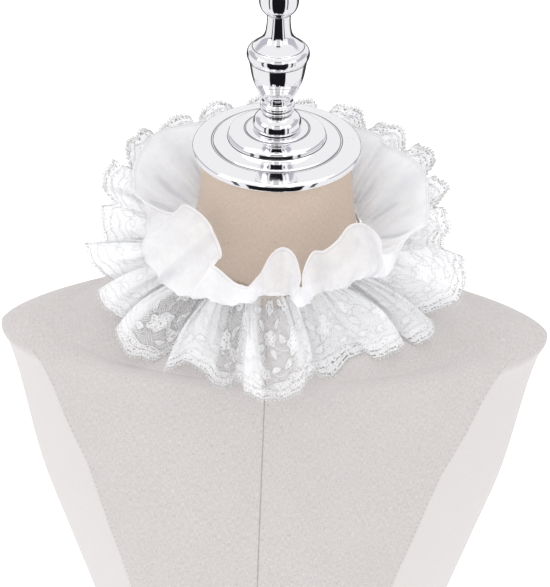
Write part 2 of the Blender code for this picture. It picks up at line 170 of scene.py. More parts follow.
# ---------------------------------------------------------------- node helpers
class Tree:
    """a few short words for building a node tree"""

    def __init__(self, name, world=None):
        if world is None:
            self.mat = bpy.data.materials.new(name)
            self.mat.use_nodes = True
            self.tree = self.mat.node_tree
        else:
            world.use_nodes = True
            self.tree = world.node_tree
        self.tree.nodes.clear()

    def node(self, kind, **settings):
        n = self.tree.nodes.new(kind)
        for key, value in settings.items():
            setattr(n, key, value)
        return n

    def join(self, a, b):
        self.tree.links.new(a, b)

    def put(self, socket, value):
        if isinstance(value, bpy.types.NodeSocket):
            self.join(value, socket)
        else:
            socket.default_value = value

    def math(self, op, a, b=None, c=None, clamp=False):
        n = self.node("ShaderNodeMath", operation=op, use_clamp=clamp)
        for k, v in enumerate((a, b, c)):
            if v is not None:
                self.put(n.inputs[k], v)
        return n.outputs[0]

    def ramp(self, value, a, b, lo=0.0, hi=1.0, smooth=True):
        n = self.node("ShaderNodeMapRange", interpolation_type='SMOOTHSTEP' if smooth else 'LINEAR')
        self.put(n.inputs["Value"], value)
        for key, v in zip(("From Min", "From Max", "To Min", "To Max"), (a, b, lo, hi)):
            self.put(n.inputs[key], v)
        return n.outputs["Result"]

    def noise(self, vector, scale, detail=2.0, rough=0.5, distortion=0.0):
        n = self.node("ShaderNodeTexNoise")
        self.join(vector, n.inputs["Vector"])
        n.inputs["Scale"].default_value = scale
        n.inputs["Detail"].default_value = detail
        n.inputs["Roughness"].default_value = rough
        n.inputs["Distortion"].default_value = distortion
        return n.outputs["Fac"]

    def mapped(self, vector, scale=(1, 1, 1), place=(0, 0, 0)):
        n = self.node("ShaderNodeMapping")
        self.join(vector, n.inputs["Vector"])
        n.inputs["Scale"].default_value = scale
        n.inputs["Location"].default_value = place
        return n.outputs["Vector"]

    def mix(self, fac, a, b, kind='MIX'):
        n = self.node("ShaderNodeMix", data_type='RGBA', blend_type=kind)
        self.put(n.inputs["Factor"], fac)
        for key, v in ((6, a), (7, b)):
            self.put(n.inputs[key], v if isinstance(v, bpy.types.NodeSocket) else (*v, 1.0))
        return n.outputs[2]

    def bump(self, height, strength, distance, normal=None):
        n = self.node("ShaderNodeBump")
        self.join(height, n.inputs["Height"])
        n.inputs["Strength"].default_value = strength
        n.inputs["Distance"].default_value = distance
        if normal is not None:
            self.join(normal, n.inputs["Normal"])
        return n.outputs["Normal"]

    def attribute(self, name):
        return self.node("ShaderNodeAttribute", attribute_name=name).outputs["Fac"]

    def principled(self, base, rough, normal=None, **inputs):
        n = self.node("ShaderNodeBsdfPrincipled")
        self.put(n.inputs["Base Color"], base if isinstance(base, bpy.types.NodeSocket) else (*base, 1.0))
        self.put(n.inputs["Roughness"], rough)
        if normal is not None:
            self.join(normal, n.inputs["Normal"])
        for key, v in inputs.items():
            self.put(n.inputs[key], v)
        return n

    def out(self, shader):
        o = self.node("ShaderNodeOutputMaterial")
        self.join(shader, o.inputs["Surface"])
        return self.mat


# ------------------------------------------------------------------ mesh helpers
def put_mesh(name, points, quads, material, uv=None, values=None, smooth=True, ride=True):
    """points mm on the neck axis and up from the rim plane; uv one pair a point, in mm"""
    p = np.asarray(points, float).copy()
    p[:, 1] += AXIS_Y
    p[:, 2] += RIM_Z
    q = np.asarray(quads, np.int32)
    me = bpy.data.meshes.new(name)
    me.vertices.add(len(p))
    me.vertices.foreach_set("co", (p / 1000.0).astype(np.float32).ravel())
    me.loops.add(q.size)
    me.loops.foreach_set("vertex_index", q.ravel())
    me.polygons.add(len(q))
    me.polygons.foreach_set("loop_start", np.arange(len(q), dtype=np.int32) * q.shape[1])
    me.polygons.foreach_set("use_smooth", np.full(len(q), smooth))
    me.update(calc_edges=True)
    me.validate()
    if uv is not None:
        layer = me.uv_layers.new(name="cloth")
        flat = np.asarray(uv, float)[q.ravel()] if len(uv) == len(p) else np.asarray(uv, float)
        layer.data.foreach_set("uv", (flat / 1000.0).astype(np.float32).ravel())
    for key, v in (values or {}).items():
        a = me.attributes.new(key, 'FLOAT', 'POINT')
        a.data.foreach_set("value", np.asarray(v, np.float32).ravel())
    me.materials.append(material)
    ob = bpy.data.objects.new(name, me)
    bpy.context.scene.collection.objects.link(ob)
    if ride:
        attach(ob, "root")
    return ob


def grid_quads(rows, cols, close_rows=True, start=0):
    """quads of a rows x cols grid of points; with close_rows the last row meets the first"""
    i = np.arange(rows if close_rows else rows - 1)
    j = np.arange(cols - 1)
    a, b = np.meshgrid(i, j, indexing='ij')
    n = (a + 1) % rows
    return start + np.stack([a * cols + b, a * cols + b + 1, n * cols + b + 1, n * cols + b],
                            -1).reshape(-1, 4)


def tubes(lines, radius, sides=4, normals=None):
    """one mesh of open or closed tubes; lines is [(points, closed)], radius mm or one per line"""
    all_points, all_quads, start = [], [], 0
    for index, (line, closed) in enumerate(lines):
        p = np.asarray(line, float)
        r = radius[index] if isinstance(radius, (list, tuple)) else radius
        if closed:
            along = np.roll(p, -1, 0) - np.roll(p, 1, 0)
        else:
            along = np.gradient(p, axis=0)
        along /= np.maximum(np.linalg.norm(along, axis=1), 1e-9)[:, None]
        guide = normals[index] if normals is not None else np.tile([0.0, 0.0, 1.0], (len(p), 1))
        side = np.cross(along, guide)
        side /= np.maximum(np.linalg.norm(side, axis=1), 1e-9)[:, None]
        up = np.cross(side, along)
        rings = []
        for k in range(sides):
            a = 2 * math.pi * (k + 0.5) / sides
            rings.append(p + r * (math.cos(a) * side + math.sin(a) * up))
        ring = np.stack(rings, 1)
        n = len(p)
        pts = ring.reshape(-1, 3)
        i = np.arange(n if closed else n - 1)
        for k in range(sides):
            m = (k + 1) % sides
            j = (i + 1) % n
            all_quads.append(start + np.stack([i * sides + k, i * sides + m,
                                               j * sides + m, j * sides + k], -1))
        if not closed and sides == 4:
            all_quads.append(start + np.array([[3, 2, 1, 0]]))
            e = (n - 1) * sides
            all_quads.append(start + e + np.array([[0, 1, 2, 3]]))
        all_points.append(pts)
        start += len(pts)
    return np.concatenate(all_points), np.concatenate(all_quads)


# -------------------------------------------------------------------- the form
def curve_rows(rows, t):
    """Catmull-Rom through the rows of a table at places t, counted in rows"""
    v = np.array(rows, float)
    n = len(v)
    i = np.clip(np.floor(t).astype(int), 0, n - 2)
    f = (t - i)[:, None]
    a, b, c, d = v[np.maximum(i - 1, 0)], v[i], v[i + 1], v[np.minimum(i + 2, n - 1)]
    return 0.5 * (2 * b + (c - a) * f + (2 * a - 5 * b + 4 * c - d) * f * f
                  + (3 * b - a - 3 * c + d) * f ** 3)


def torso_at(drop):
    t = np.array(TORSO_LEVELS)
    return [np.interp(drop, t[:, 0], t[:, k]) for k in (1, 2, 3, 4)]


# the torso stands turned a little to its own left on the neck's axis
TORSO_TURN = math.radians(3.0)


def torso_power(drop, power, y):
    """behind the side seam the edge of the shoulder falls away to a corner"""
    cut = np.interp(drop, [136.0, 144.0, 154.0, 183.0, 202.0], [0.0, 0.4, 0.4, 0.2, 0.0])
    return np.where(y < 0, power, power - cut)


def torso_top(x, y):
    """height of the shoulder and chest surface over the points x, y"""
    c, s = math.cos(TORSO_TURN), math.sin(TORSO_TURN)
    x, y = x * c + y * s, y * c - x * s
    lo = np.full(np.shape(x), 92.0)
    hi = np.full(np.shape(x), 500.0)
    for _ in range(22):
        mid = 0.5 * (lo + hi)
        half, front, back, power = torso_at(mid)
        depth = np.where(y < 0, front, back)
        power = torso_power(mid, power, y)
        inside = (np.abs(x) / half) ** power + (np.abs(y) / depth) ** power < 1.0
        hi = np.where(inside, mid, hi)
        lo = np.where(inside, lo, mid)
    return -hi


def linen_material(name, base, side_light_colour, seams, contrast=1.0):
    """plain-weave linen: short uneven warp and weft threads, soft cloudiness, a few specks"""
    t = Tree(name)
    uv = t.node("ShaderNodeUVMap", uv_map="cloth").outputs["UV"]
    place = t.node("ShaderNodeTexCoord").outputs["Object"]
    warp = t.noise(t.mapped(uv, (1500, 330, 1)), 1.0, 2.0, 0.6)
    weft = t.noise(t.mapped(uv, (300, 1450, 1)), 1.0, 2.0, 0.6)
    weave = t.math('ADD', t.math('MULTIPLY', warp, 1.15), t.math('MULTIPLY', weft, 0.85))
    slub = t.ramp(t.noise(t.mapped(uv, (520, 40, 1), (7, 3, 0)), 1.0, 1.0), 0.66, 0.80)
    cloud = t.noise(place, 11.0, 3.0, 0.5)
    patch = t.noise(place, 55.0, 2.0, 0.5)
    speck = t.ramp(t.noise(place, 430.0, 0.0, 0.5), 0.835, 0.86)
    dark = tuple((1 - 0.17 * contrast) * c for c in base)
    lite = tuple(min(1.0, (1 + 0.13 * contrast) * c) for c in base)
    colour = t.mix(t.ramp(weave, 0.72, 1.28, smooth=False), dark, lite)
    colour = t.mix(t.math('MULTIPLY', slub, 0.16), colour, dark)
    colour = t.mix(t.ramp(cloud, 0.35, 0.7, 0.0, 0.16), colour, tuple(0.90 * c for c in base))
    colour = t.mix(t.ramp(patch, 0.35, 0.7, 0.0, 0.12), colour, lite)
    colour = t.mix(t.math('MULTIPLY', speck, 0.5), colour, (0.36, 0.29, 0.25))
    normal = t.bump(weave, 0.22, 0.0004)
    if seams:
        panel, run = t.attribute("panel"), t.attribute("run")
        # painted light: below the shoulder the side panels are painted paler than the front
        low_down = t.ramp(run, 148.0, 157.0)
        side = t.math('MULTIPLY', t.ramp(panel, -1.5, 2.5, smooth=True), low_down)
        colour = t.mix(t.math('MULTIPLY', side, 0.8), colour, side_light_colour)
        line = t.math('ABSOLUTE', panel)
        stitch = t.ramp(t.math('PINGPONG', t.math('MULTIPLY', run, 0.62), 1.0), 0.35, 0.65)
        seam = t.math('MULTIPLY', t.ramp(line, 0.2, 0.8, 1.0, 0.0), t.math('MULTIPLY', stitch, 0.30))
        seam = t.math('MULTIPLY', seam, t.ramp(run, 147.0, 150.0))
        middle = t.math('ABSOLUTE', t.attribute("middle"))
        centre = t.math('MULTIPLY', t.ramp(middle, 0.15, 0.62, 1.0, 0.0),
                        t.math('MULTIPLY_ADD', t.noise(place, 260.0, 1.0), 0.5, 0.38))
        both = t.math('MAXIMUM', seam, centre)
        colour = t.mix(both, colour, (0.25, 0.205, 0.175))
        pit = t.math('MAXIMUM', t.math('MULTIPLY', t.ramp(line, 0.0, 1.6, 1.0, 0.0), t.ramp(run, 147.0, 150.0)),
                     t.ramp(middle, 0.0, 1.6, 1.0, 0.0))
        normal = t.bump(t.math('MULTIPLY', pit, -1.0), 0.4, 0.0008, normal)
    b = t.principled(colour, 0.92, normal)
    b.inputs["Sheen Weight"].default_value = 0.08
    b.inputs["Sheen Roughness"].default_value = 0.6
    return t.out(b.outputs[0])


linen = linen_material("linen", (0.570, 0.540, 0.533), (0.672, 0.645, 0.643), True)
# the neck cover is a darker, tanner copy of the linen: its tone is painted shade and colour cast
neck_linen = linen_material("neck_linen", (0.560, 0.455, 0.374), (0.6, 0.5, 0.42), False, 0.8)

STEPS = 288
rows_at = np.arange(0, (len(TORSO_LEVELS) - 1) * 8 + 1) / 8.0
table = curve_rows(TORSO_LEVELS, rows_at)
angle = 2 * math.pi * np.arange(STEPS) / STEPS
s, c = np.sin(angle), -np.cos(angle)
drop, half, front, back, power = (table[:, k][:, None] for k in range(5))
expo = 2.0 / torso_power(drop, power, c[None, :])
px = half * np.sign(s) * np.abs(s) ** expo
py = np.where(c < 0, front, back) * np.sign(c) * np.abs(c) ** expo
ring = np.stack([px * math.cos(TORSO_TURN) - py * math.sin(TORSO_TURN),
                 px * math.sin(TORSO_TURN) + py * math.cos(TORSO_TURN), -drop * np.ones_like(px)], -1)
# a small round edge under the waist
bottom = []
for inset, rise in ((0.6, 0.0), (2.2, 0.0)):
    last = ring[-1].copy()
    shrink = 1.0 - inset / np.linalg.norm(last[:, :2], axis=1)
    last[:, 0] *= shrink
    last[:, 1] *= shrink
    bottom.append(last)
ring[-1, :, 2] += 0.6
ring = np.concatenate([ring, np.array(bottom)])
girth = np.linalg.norm(np.roll(ring, -1, 1) - ring, axis=2)
run_u = np.concatenate([np.zeros((len(ring), 1)), np.cumsum(girth, 1)], 1)[:, :-1]
run_v = np.concatenate([[0], np.cumsum(np.linalg.norm(np.diff(ring, axis=0), axis=2).mean(1))])
# u is measured from the centre front, both ways round
u = np.where(angle[None, :] <= math.pi, run_u, run_u - girth.sum(1)[:, None])
v = np.repeat(-run_v[:, None], STEPS, 1)
seam = np.array(PANEL_SEAM, float)
seam_x = np.interp(-ring[..., 2], seam[:, 0], seam[:, 1])
panel = (np.abs(ring[..., 0]) - seam_x) * 0.86
run = -ring[..., 2]
quads = grid_quads(len(ring), STEPS, close_rows=False)
edge = np.stack([np.arange(len(ring) - 1) * STEPS + STEPS - 1, np.arange(len(ring) - 1) * STEPS,
                 np.arange(1, len(ring)) * STEPS, np.arange(1, len(ring)) * STEPS + STEPS - 1], -1)
quads = np.concatenate([quads, edge])[:, ::-1]
points = ring.reshape(-1, 3)
caps = []
for row, turn in ((0, 1), (len(ring) - 1, -1)):
    centre = len(points)
    points = np.concatenate([points, [[0.0, 0.0, ring[row, 0, 2]]]])
    k = np.arange(0, STEPS, 2)
    q = np.stack([np.full(len(k), centre), row * STEPS + k, row * STEPS + (k + 1) % STEPS,
                  row * STEPS + (k + 2) % STEPS], -1)
    caps.append(q if turn > 0 else q[:, ::-1])
quads = np.concatenate([quads] + caps)
uv_points = np.concatenate([np.stack([u, v], -1).reshape(-1, 2), [[0, 0], [0, 0]]])
corner_uv = uv_points[quads.ravel()]
quad_uv = corner_uv.reshape(-1, 4, 2)
wide = quad_uv[..., 0].max(1) - quad_uv[..., 0].min(1) > 200.0
fix = quad_uv[wide]
fix[..., 0] = np.where(fix[..., 0] < 0, -fix[..., 0], fix[..., 0])
quad_uv[wide] = fix
middle = np.where(ring[..., 1] < 60, ring[..., 0], ring[..., 0])
torso = put_mesh("torso_linen", points, quads, linen, quad_uv.reshape(-1, 2),
                 {"panel": np.concatenate([panel.ravel(), [50, 50]]),
                  "middle": np.concatenate([middle.ravel(), [50, 50]]),
                  "run": np.concatenate([run.ravel(), [0, 0]])})
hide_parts("form_torso")


def turned(name, profile, steps, material, per, uv_mm=False):
    """profile rows are (radius, height) from the lowest; corners are repeated rows"""
    rows = [np.array(r, float) for r in profile]
    path = []
    for i in range(len(rows) - 1):
        a, b = rows[i], rows[i + 1]
        if np.allclose(a, b):
            continue
        before = rows[i - 1] if i > 0 and not np.allclose(rows[i - 1], a) else a
        after = rows[i + 2] if i + 2 < len(rows) and not np.allclose(rows[i + 2], b) else b
        for k in range(per):
            f = k / per
            path.append(0.5 * (2 * a + (b - before) * f + (2 * before - 5 * a + 4 * b - after) * f * f
                               + (-before + 3 * a - 3 * b + after) * f ** 3))
    path.append(rows[-1])
    path = np.array(path)
    path[:, 0] = np.maximum(path[:, 0], 0.02)
    a = 2 * math.pi * np.arange(steps) / steps
    pts = np.stack([path[:, :1] * np.sin(a), -path[:, :1] * np.cos(a),
                    np.repeat(path[:, 1:], steps, 1)], -1)
    run = np.concatenate([[0], np.cumsum(np.linalg.norm(np.diff(path, axis=0), axis=1))])
    corners = [rows[i] for i in range(1, len(rows)) if np.allclose(rows[i], rows[i - 1])]
    crease = np.full(len(path), 9.0)
    for corner in corners:
        at = run[np.argmin(np.linalg.norm(path - corner, axis=1))]
        crease = np.minimum(crease, np.abs(run - at))
    q = grid_quads(len(path), steps, close_rows=False)
    n = np.arange(len(path) - 1)
    last = np.stack([n * steps + steps - 1, n * steps, (n + 1) * steps, (n + 1) * steps + steps - 1], -1)
    q = np.concatenate([q, last])
    uv = np.stack([np.repeat((a * path[:, 0].max())[None, :], len(path), 0),
                   np.repeat(run[:, None], steps, 1)], -1).reshape(-1, 2)
    quad = uv[q.ravel()].reshape(-1, 4, 2)
    girth = 2 * math.pi * path[:, 0].max()
    wide = quad[..., 0].max(1) - quad[..., 0].min(1) > girth / 2
    fix = quad[wide]
    fix[..., 0] = np.where(fix[..., 0] < girth / 2, fix[..., 0] + girth, fix[..., 0])
    quad[wide] = fix
    pts = pts.reshape(-1, 3)
    extra = []
    for row, way in ((0, -1), (len(path) - 1, 1)):
        middle = len(pts)
        pts = np.concatenate([pts, [[0.0, 0.0, path[row, 1]]]])
        k = np.arange(0, steps, 2)
        f = np.stack([np.full(len(k), middle), row * steps + k, row * steps + (k + 1) % steps,
                      row * steps + (k + 2) % steps], -1)
        extra.append(f if way > 0 else f[:, ::-1])
    q = np.concatenate([q] + extra)
    uvs = np.concatenate([quad.reshape(-1, 2), np.zeros((sum(len(e) for e in extra) * 4, 2))])
    crease = np.concatenate([np.repeat(crease, steps), [9.0, 9.0]])
    return put_mesh(name, pts, q, material, uvs, {"crease": crease})


NECK_PROFILE = [(60.6, -91.7), (60.4, -84.0), (59.2, -72.0), (57.6, -60.0),
                (55.2, -44.0), (53.4, -28.0), (52.8, -12.0), (52.8, -0.3)]
neck = turned("neck_linen_cover", NECK_PROFILE, 256, neck_linen, 6)
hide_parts("form_neck")


def chrome_material():
    t = Tree("chrome")
    place = t.node("ShaderNodeTexCoord").outputs["Object"]
    wear = t.noise(place, 55.0, 4.0, 0.6)
    fine = t.noise(t.mapped(place, (260, 260, 900)), 1.0, 2.0, 0.5)
    spot = t.ramp(t.noise(place, 210.0, 1.0), 0.74, 0.80)
    rough = t.math('ADD', t.ramp(wear, 0.35, 0.75, 0.035, 0.085), t.math('MULTIPLY', spot, 0.25))
    colour = t.mix(t.math('MULTIPLY', spot, 0.5), (0.93, 0.925, 0.94), (0.55, 0.53, 0.52))
    # painted reflection: the corners of the turning are painted near black and made rougher, standing in for the dark
    # lines reflected there
    corner_shade = t.ramp(t.attribute("crease"), 0.22, 0.5, 0.9, 0.0)
    colour = t.mix(corner_shade, colour, (0.10, 0.095, 0.10))
    rough = t.math('ADD', rough, t.math('MULTIPLY', corner_shade, 0.3))
    normal = t.bump(fine, 0.012, 0.0004)
    b = t.principled(colour, rough, normal, Metallic=1.0)
    return t.out(b.outputs[0])


chrome = chrome_material()
# rim, ogee, steps and low dome; a repeated row is a sharp corner
CAP_PROFILE = [(57.6, 0.0), (58.3, 0.25), (58.6, 1.1), (58.6, 3.3), (58.2, 4.3), (57.2, 5.0),
               (55.0, 5.55), (50.0, 6.5), (46.2, 7.2),
               (45.4, 7.3), (45.4, 7.3), (44.9, 7.05), (44.2, 7.25), (44.2, 7.25), (43.6, 7.9),
               (42.6, 8.3), (38.0, 9.3), (34.9, 10.3), (34.3, 10.7), (34.3, 10.7), (33.95, 11.6),
               (33.9, 13.0), (33.3, 14.0), (32.2, 14.75), (28.0, 15.9), (23.4, 16.65),
               (22.7, 16.7), (22.7, 16.7), (22.2, 16.4), (21.7, 16.6), (21.7, 16.6),
               (21.0, 17.1), (18.6, 17.5), (17.6, 17.6)]
cap = turned("neck_cap_chrome", CAP_PROFILE, 256, chrome, 4)
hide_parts("neck_cap")
FINIAL_PROFILE = [
    (14.6, 17.9), (16.4, 18.6), (17.0, 20.4), (16.6, 23.4), (15.2, 26.2),
    (12.6, 28.4), (10.2, 29.6), (10.2, 29.6), (10.2, 30.4), (10.2, 30.4), (11.4, 31.0), (11.6, 32.2),
    (10.4, 33.2), (10.4, 33.2), (10.4, 33.8), (10.4, 33.8), (11.7, 34.6), (11.9, 36.4), (10.6, 37.6),
    (9.8, 39.2), (10.6, 41.2), (12.8, 45.0), (15.6, 51.0), (17.8, 58.0),
    (19.2, 66.0), (19.9, 70.0), (19.9, 70.0), (21.0, 72.2), (21.4, 74.6), (20.6, 77.4),
    (18.4, 79.6), (17.6, 79.8), (17.6, 79.8), (14.6, 82.4), (11.2, 86.0), (9.2, 90.0),
    (8.3, 95.0), (8.0, 100.0), (8.3, 104.6), (8.3, 104.6), (10.6, 106.2), (12.8, 110.0),
    (13.4, 115.0), (12.8, 120.0), (10.4, 124.6), (6.4, 127.6), (2.2, 128.6)]
finial = turned("finial_chrome", FINIAL_PROFILE, 192, chrome, 4)
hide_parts("cap_finial")


# -------------------------------------------------------------------- frills
def neckline(deg):
    a = np.radians(deg)
    return np.stack([NECKLINE_R * np.sin(a), -NECKLINE_R * np.cos(a),
                     -NECKLINE_DROP - NECKLINE_TILT * np.cos(a)], -1)


def around(values, at, turn=0.0):
    v = np.asarray(values, float)
    n = len(v)
    i = np.floor(at).astype(int)
    f = (at - i)[:, None] if v.ndim > 1 else at - i

    def row(k):
        return v[k % n] + turn * (k // n) if turn else v[k % n]
    a, b, c, d = row(i - 1), row(i), row(i + 1), row(i + 2)
    return 0.5 * (2 * b + (c - a) * f + (2 * a - 5 * b + 4 * c - d) * f * f
                  + (3 * b - a - 3 * c + d) * f ** 3)


def parting(x, y):
    a = np.arctan2(x, -y)
    off = (np.abs(np.degrees(a)) - 105.0) / 30.0
    lean = np.radians(12.0 - 28.0 * np.cos(a) + 10.0 * np.exp(-off * off))
    reach = np.hypot(x, y) - NECKLINE_R
    return -NECKLINE_DROP - NECKLINE_TILT * np.cos(a) + reach * np.tan(lean), 1.0 / np.cos(lean)


def soft_low(a, b, soft=1.0):
    return np.minimum(a, b) - soft * np.exp(-np.abs(a - b) / soft) * 0.5


# the organza puffs out over the lace before it rises, mm, at degrees from the front
PUFF = [(-180, 0), (-120, 0), (-100, 6), (-80, 17), (-60, 22), (-44, 20), (-28, 9), (-12, 2),
        (0, 2), (12, 3), (25, 6), (45, 11), (62, 11), (85, 5), (110, 0), (180, 0)]


def frill_base(folds, count, across, lift, crown_up):
    """middle surface of one frill on the same folds as its solid, and its hem length"""
    t = np.array(folds, float)
    hem_a = np.radians(t[:, 1] + COLLAR_TURN)
    hem = np.stack([t[:, 2] * np.sin(hem_a), -t[:, 2] * np.cos(hem_a), -t[:, 3]], 1)
    fine = np.arange(0, len(t), 1 / 24)
    path = around(hem, fine)
    step = np.linalg.norm(np.roll(path, -1, 0) - path, axis=1)
    run = np.concatenate([[0], np.cumsum(step)])
    at = np.interp(np.arange(count) * run[-1] / count, run, np.concatenate([fine, [len(t)]]))
    out = around(hem, at)
    neck_deg = around(t[:, 0], at, 360.0) + COLLAR_TURN
    crown = around(t[:, 4], at)
    root = neckline(neck_deg)
    root[:, 2] += lift
    chord = out - root
    unit = chord / np.linalg.norm(chord, axis=1)[:, None]
    if crown_up:
        push = np.tile([0.0, 0.0, 1.0], (count, 1))
    else:
        push = np.stack([out[:, 0] + root[:, 0], out[:, 1] + root[:, 1], np.zeros(count)], 1)
        push /= np.linalg.norm(push, axis=1)[:, None]
    push -= unit * np.sum(push * unit, axis=1)[:, None]
    push /= np.linalg.norm(push, axis=1)[:, None]
    control = 0.5 * (root + out) + 2.0 * push * crown[:, None]
    s = (np.arange(across + 1) / across)[None, :, None]
    sheet = ((1 - s) ** 2 * root[:, None] + 2 * s * (1 - s) * control[:, None] + s * s * out[:, None])
    if not crown_up:
        puff = np.array(PUFF, float)
        swell = np.interp((neck_deg + 180.0) % 360.0 - 180.0, puff[:, 0], puff[:, 1])[:, None]
        swell = swell * np.sin(math.pi * s[..., 0] ** 0.75) ** 1.2
        a = np.radians(neck_deg)
        away = np.stack([np.sin(a), -np.cos(a), np.full(count, -0.45)], 1)
        sheet = sheet + away[:, None] * swell[..., None]
    return sheet, run[-1]


def keep_clear(sheet, crown_up):
    """the two frills part at the cone, and neither sinks into the form"""
    cone, slant = parting(sheet[..., 0], sheet[..., 1])
    if crown_up:
        sheet[:, 1:, 2] = soft_low(sheet[..., 2], cone - 1.0 * slant)[:, 1:]
    else:
        sheet[:, 1:, 2] = -soft_low(-sheet[..., 2], -(cone + 1.0 * slant))[:, 1:]
    rest = torso_top(sheet[..., 0], sheet[..., 1]) + CLEAR
    sheet[..., 2] = np.maximum(sheet[..., 2], rest)
    return sheet


def normals_of(sheet):
    along = np.roll(sheet, -1, 0) - np.roll(sheet, 1, 0)
    out = np.gradient(sheet, axis=1)
    n = np.cross(along, out)
    return n / np.maximum(np.linalg.norm(n, axis=2), 1e-9)[..., None]


def soft_waves(length, count, seed, least, most):
    """smooth uneven wave round the hem, about -1 to 1, its crests least to most mm apart"""
    rng = np.random.default_rng(seed)
    knots = [0.0]
    while knots[-1] < length:
        knots.append(knots[-1] + rng.uniform(least, most))
    knots = np.array(knots[:-1]) * length / knots[-1]
    value = rng.uniform(0.4, 1.0, len(knots)) * np.where(np.arange(len(knots)) % 2, 1.0, -1.0)
    knots = np.concatenate([knots - length, knots, knots + length])
    value = np.tile(value, 3)
    u = np.arange(count) * length / count
    i = np.searchsorted(knots, u, side='right') - 1
    f = (u - knots[i]) / (knots[i + 1] - knots[i])
    f = f * f * (3 - 2 * f)
    return value[i] * (1 - f) + value[i + 1] * f


def gathers(sheet, length, seed, spacing, share, fade, side, most=4.2):
    """soft tucks that start at the neck line, some short and some long, so deep that each
    line round the frill nears the length of the hem; side -1 hangs them below the sheet
    near the neck line, 1 stands them above it"""
    count, cols = sheet.shape[:2]
    rng = np.random.default_rng(seed)
    s = np.arange(cols) / (cols - 1)
    edges = [0.0]
    while edges[-1] < length:
        edges.append(edges[-1] + rng.uniform(*spacing))
    edges = np.array(edges[:-1]) * length / edges[-1]
    number = len(edges)
    reach = rng.uniform(0.25, 1.0, number) ** 1.2
    tall = rng.uniform(0.55, 1.25, number)
    drift = soft_waves(length, count, seed + 1, 25.0, 60.0) * 5.0
    u = np.arange(count) * length / count
    place = (u[:, None] + drift[:, None] * s[None, :]) % length
    ends = np.concatenate([edges, [length]])
    i = np.clip(np.searchsorted(edges, place.ravel(), side='right') - 1, 0, number - 1)
    i = i.reshape(place.shape)
    t = (place - ends[i]) / (ends[i + 1] - ends[i])
    shape = np.sin(math.pi * t) ** 1.25
    still = 1.0 / (1.0 + np.exp((s[None, :] - reach[i]) / 0.09))
    shape = shape * tall[i] * still
    for _ in range(2):
        shape = 0.25 * np.roll(shape, 1, 0) + 0.5 * shape + 0.25 * np.roll(shape, -1, 0)
    normal = normals_of(sheet) * -1.0
    way = np.where(s < 0.15, side, side * np.cos(np.clip((s - 0.15) / 0.5, 0, 1) * math.pi / 2))
    base = np.where(side < 0, -shape, shape)
    middle = base.mean(0)
    base = base - middle[None, :] * (1 - np.abs(way))[None, :]

    def girth(p):
        return np.linalg.norm(np.roll(p, -1, 0) - p, axis=2).sum(0)
    now = girth(sheet)
    want = now * (1.0 + share * np.maximum(length / now - 1.0, 0.0) * (1.0 - s) ** fade)
    low, high = np.zeros(cols), np.full(cols, most)
    for _ in range(12):
        mid = 0.5 * (low + high)
        long_enough = girth(sheet + normal * (base * mid[None, :])[..., None]) > want
        high = np.where(long_enough, mid, high)
        low = np.where(long_enough, low, mid)
    depth = np.convolve(np.concatenate([[low[0]] * 2, low, [low[-1]] * 2]), np.full(5, 0.2), 'valid')
    return base * depth[None, :]


# main creases of the organza: place along the hem and share of the width where each
# starts, the same where it ends, height in mm (minus for a trough) and half width
CREASES = [
    (6, .05, 4, .70, 0.8, 3.0), (24, .10, 27, .95, -0.9, 3.4), (41, .05, 39, .60, 0.7, 2.6),
    (57, .05, 61, .90, 1.0, 3.2), (76, .10, 74, .75, -0.8, 2.8), (92, .05, 97, .96, 0.9, 3.2),
    (110, .05, 108, .55, -0.7, 2.6), (126, .10, 131, .88, 1.0, 3.4), (144, .05, 143, .70, -0.9, 3.0),
    (158, .05, 163, .94, 0.8, 2.8), (173, .10, 170, .60, -1.0, 3.2), (187, .05, 190, .90, 1.1, 3.0),
    (201, .05, 197, .72, -0.9, 2.8), (214, .10, 219, .95, 1.2, 3.4), (226, .05, 233, .62, -1.0, 2.8),
    (237, .08, 249, .92, 1.3, 3.2), (248, .05, 258, .55, -1.0, 2.6), (259, .10, 270, .97, 1.1, 3.0),
    (271, .05, 281, .70, -1.2, 2.8), (283, .05, 290, .90, 1.0, 2.6), (296, .08, 300, .60, -0.9, 2.4),
    (308, .05, 313, .93, 1.0, 2.4), (320, .05, 322, .66, -0.8, 2.2), (332, .05, 337, .90, 0.9, 2.4),
    (344, .08, 345, .52, -0.8, 2.0), (354, .05, 357, .92, 0.9, 2.2), (365, .05, 369, .70, -0.8, 2.2),
    (377, .08, 380, .95, 0.9, 2.4), (389, .05, 388, .60, -0.8, 2.0), (400, .05, 398, .90, 0.8, 2.2),
    (411, .05, 409, .62, -0.8, 2.0), (424, .05, 427, .90, 0.9, 2.2), (437, .08, 441, .70, -0.9, 2.2),
    (449, .05, 454, .94, 0.9, 2.4), (462, .05, 466, .64, -0.9, 2.2), (474, .05, 482, .92, 1.1, 2.6),
    (487, .08, 494, .70, -1.0, 2.6), (499, .05, 508, .95, 1.1, 2.8), (512, .05, 519, .62, -1.0, 2.4),
    (525, .05, 531, .90, 1.0, 2.6), (539, .08, 542, .68, -0.9, 2.4), (553, .05, 556, .92, 1.0, 2.8),
    (568, .05, 566, .60, -0.9, 2.6), (584, .08, 589, .93, 1.0, 3.0), (600, .05, 598, .70, -0.9, 2.8),
    (616, .05, 621, .90, 0.8, 3.0), (634, .10, 631, .58, -0.7, 2.8), (651, .05, 657, .95, 0.9, 3.2),
    (670, .05, 668, .66, -0.8, 2.8), (688, .08, 693, .90, 0.9, 3.2), (707, .05, 705, .72, -0.8, 3.0),
    (725, .05, 729, .94, 0.9, 3.2), (744, .10, 741, .60, -0.7, 2.6), (762, .05, 766, .90, 0.8, 3.0),
    (781, .05, 779, .74, -0.8, 2.8)]


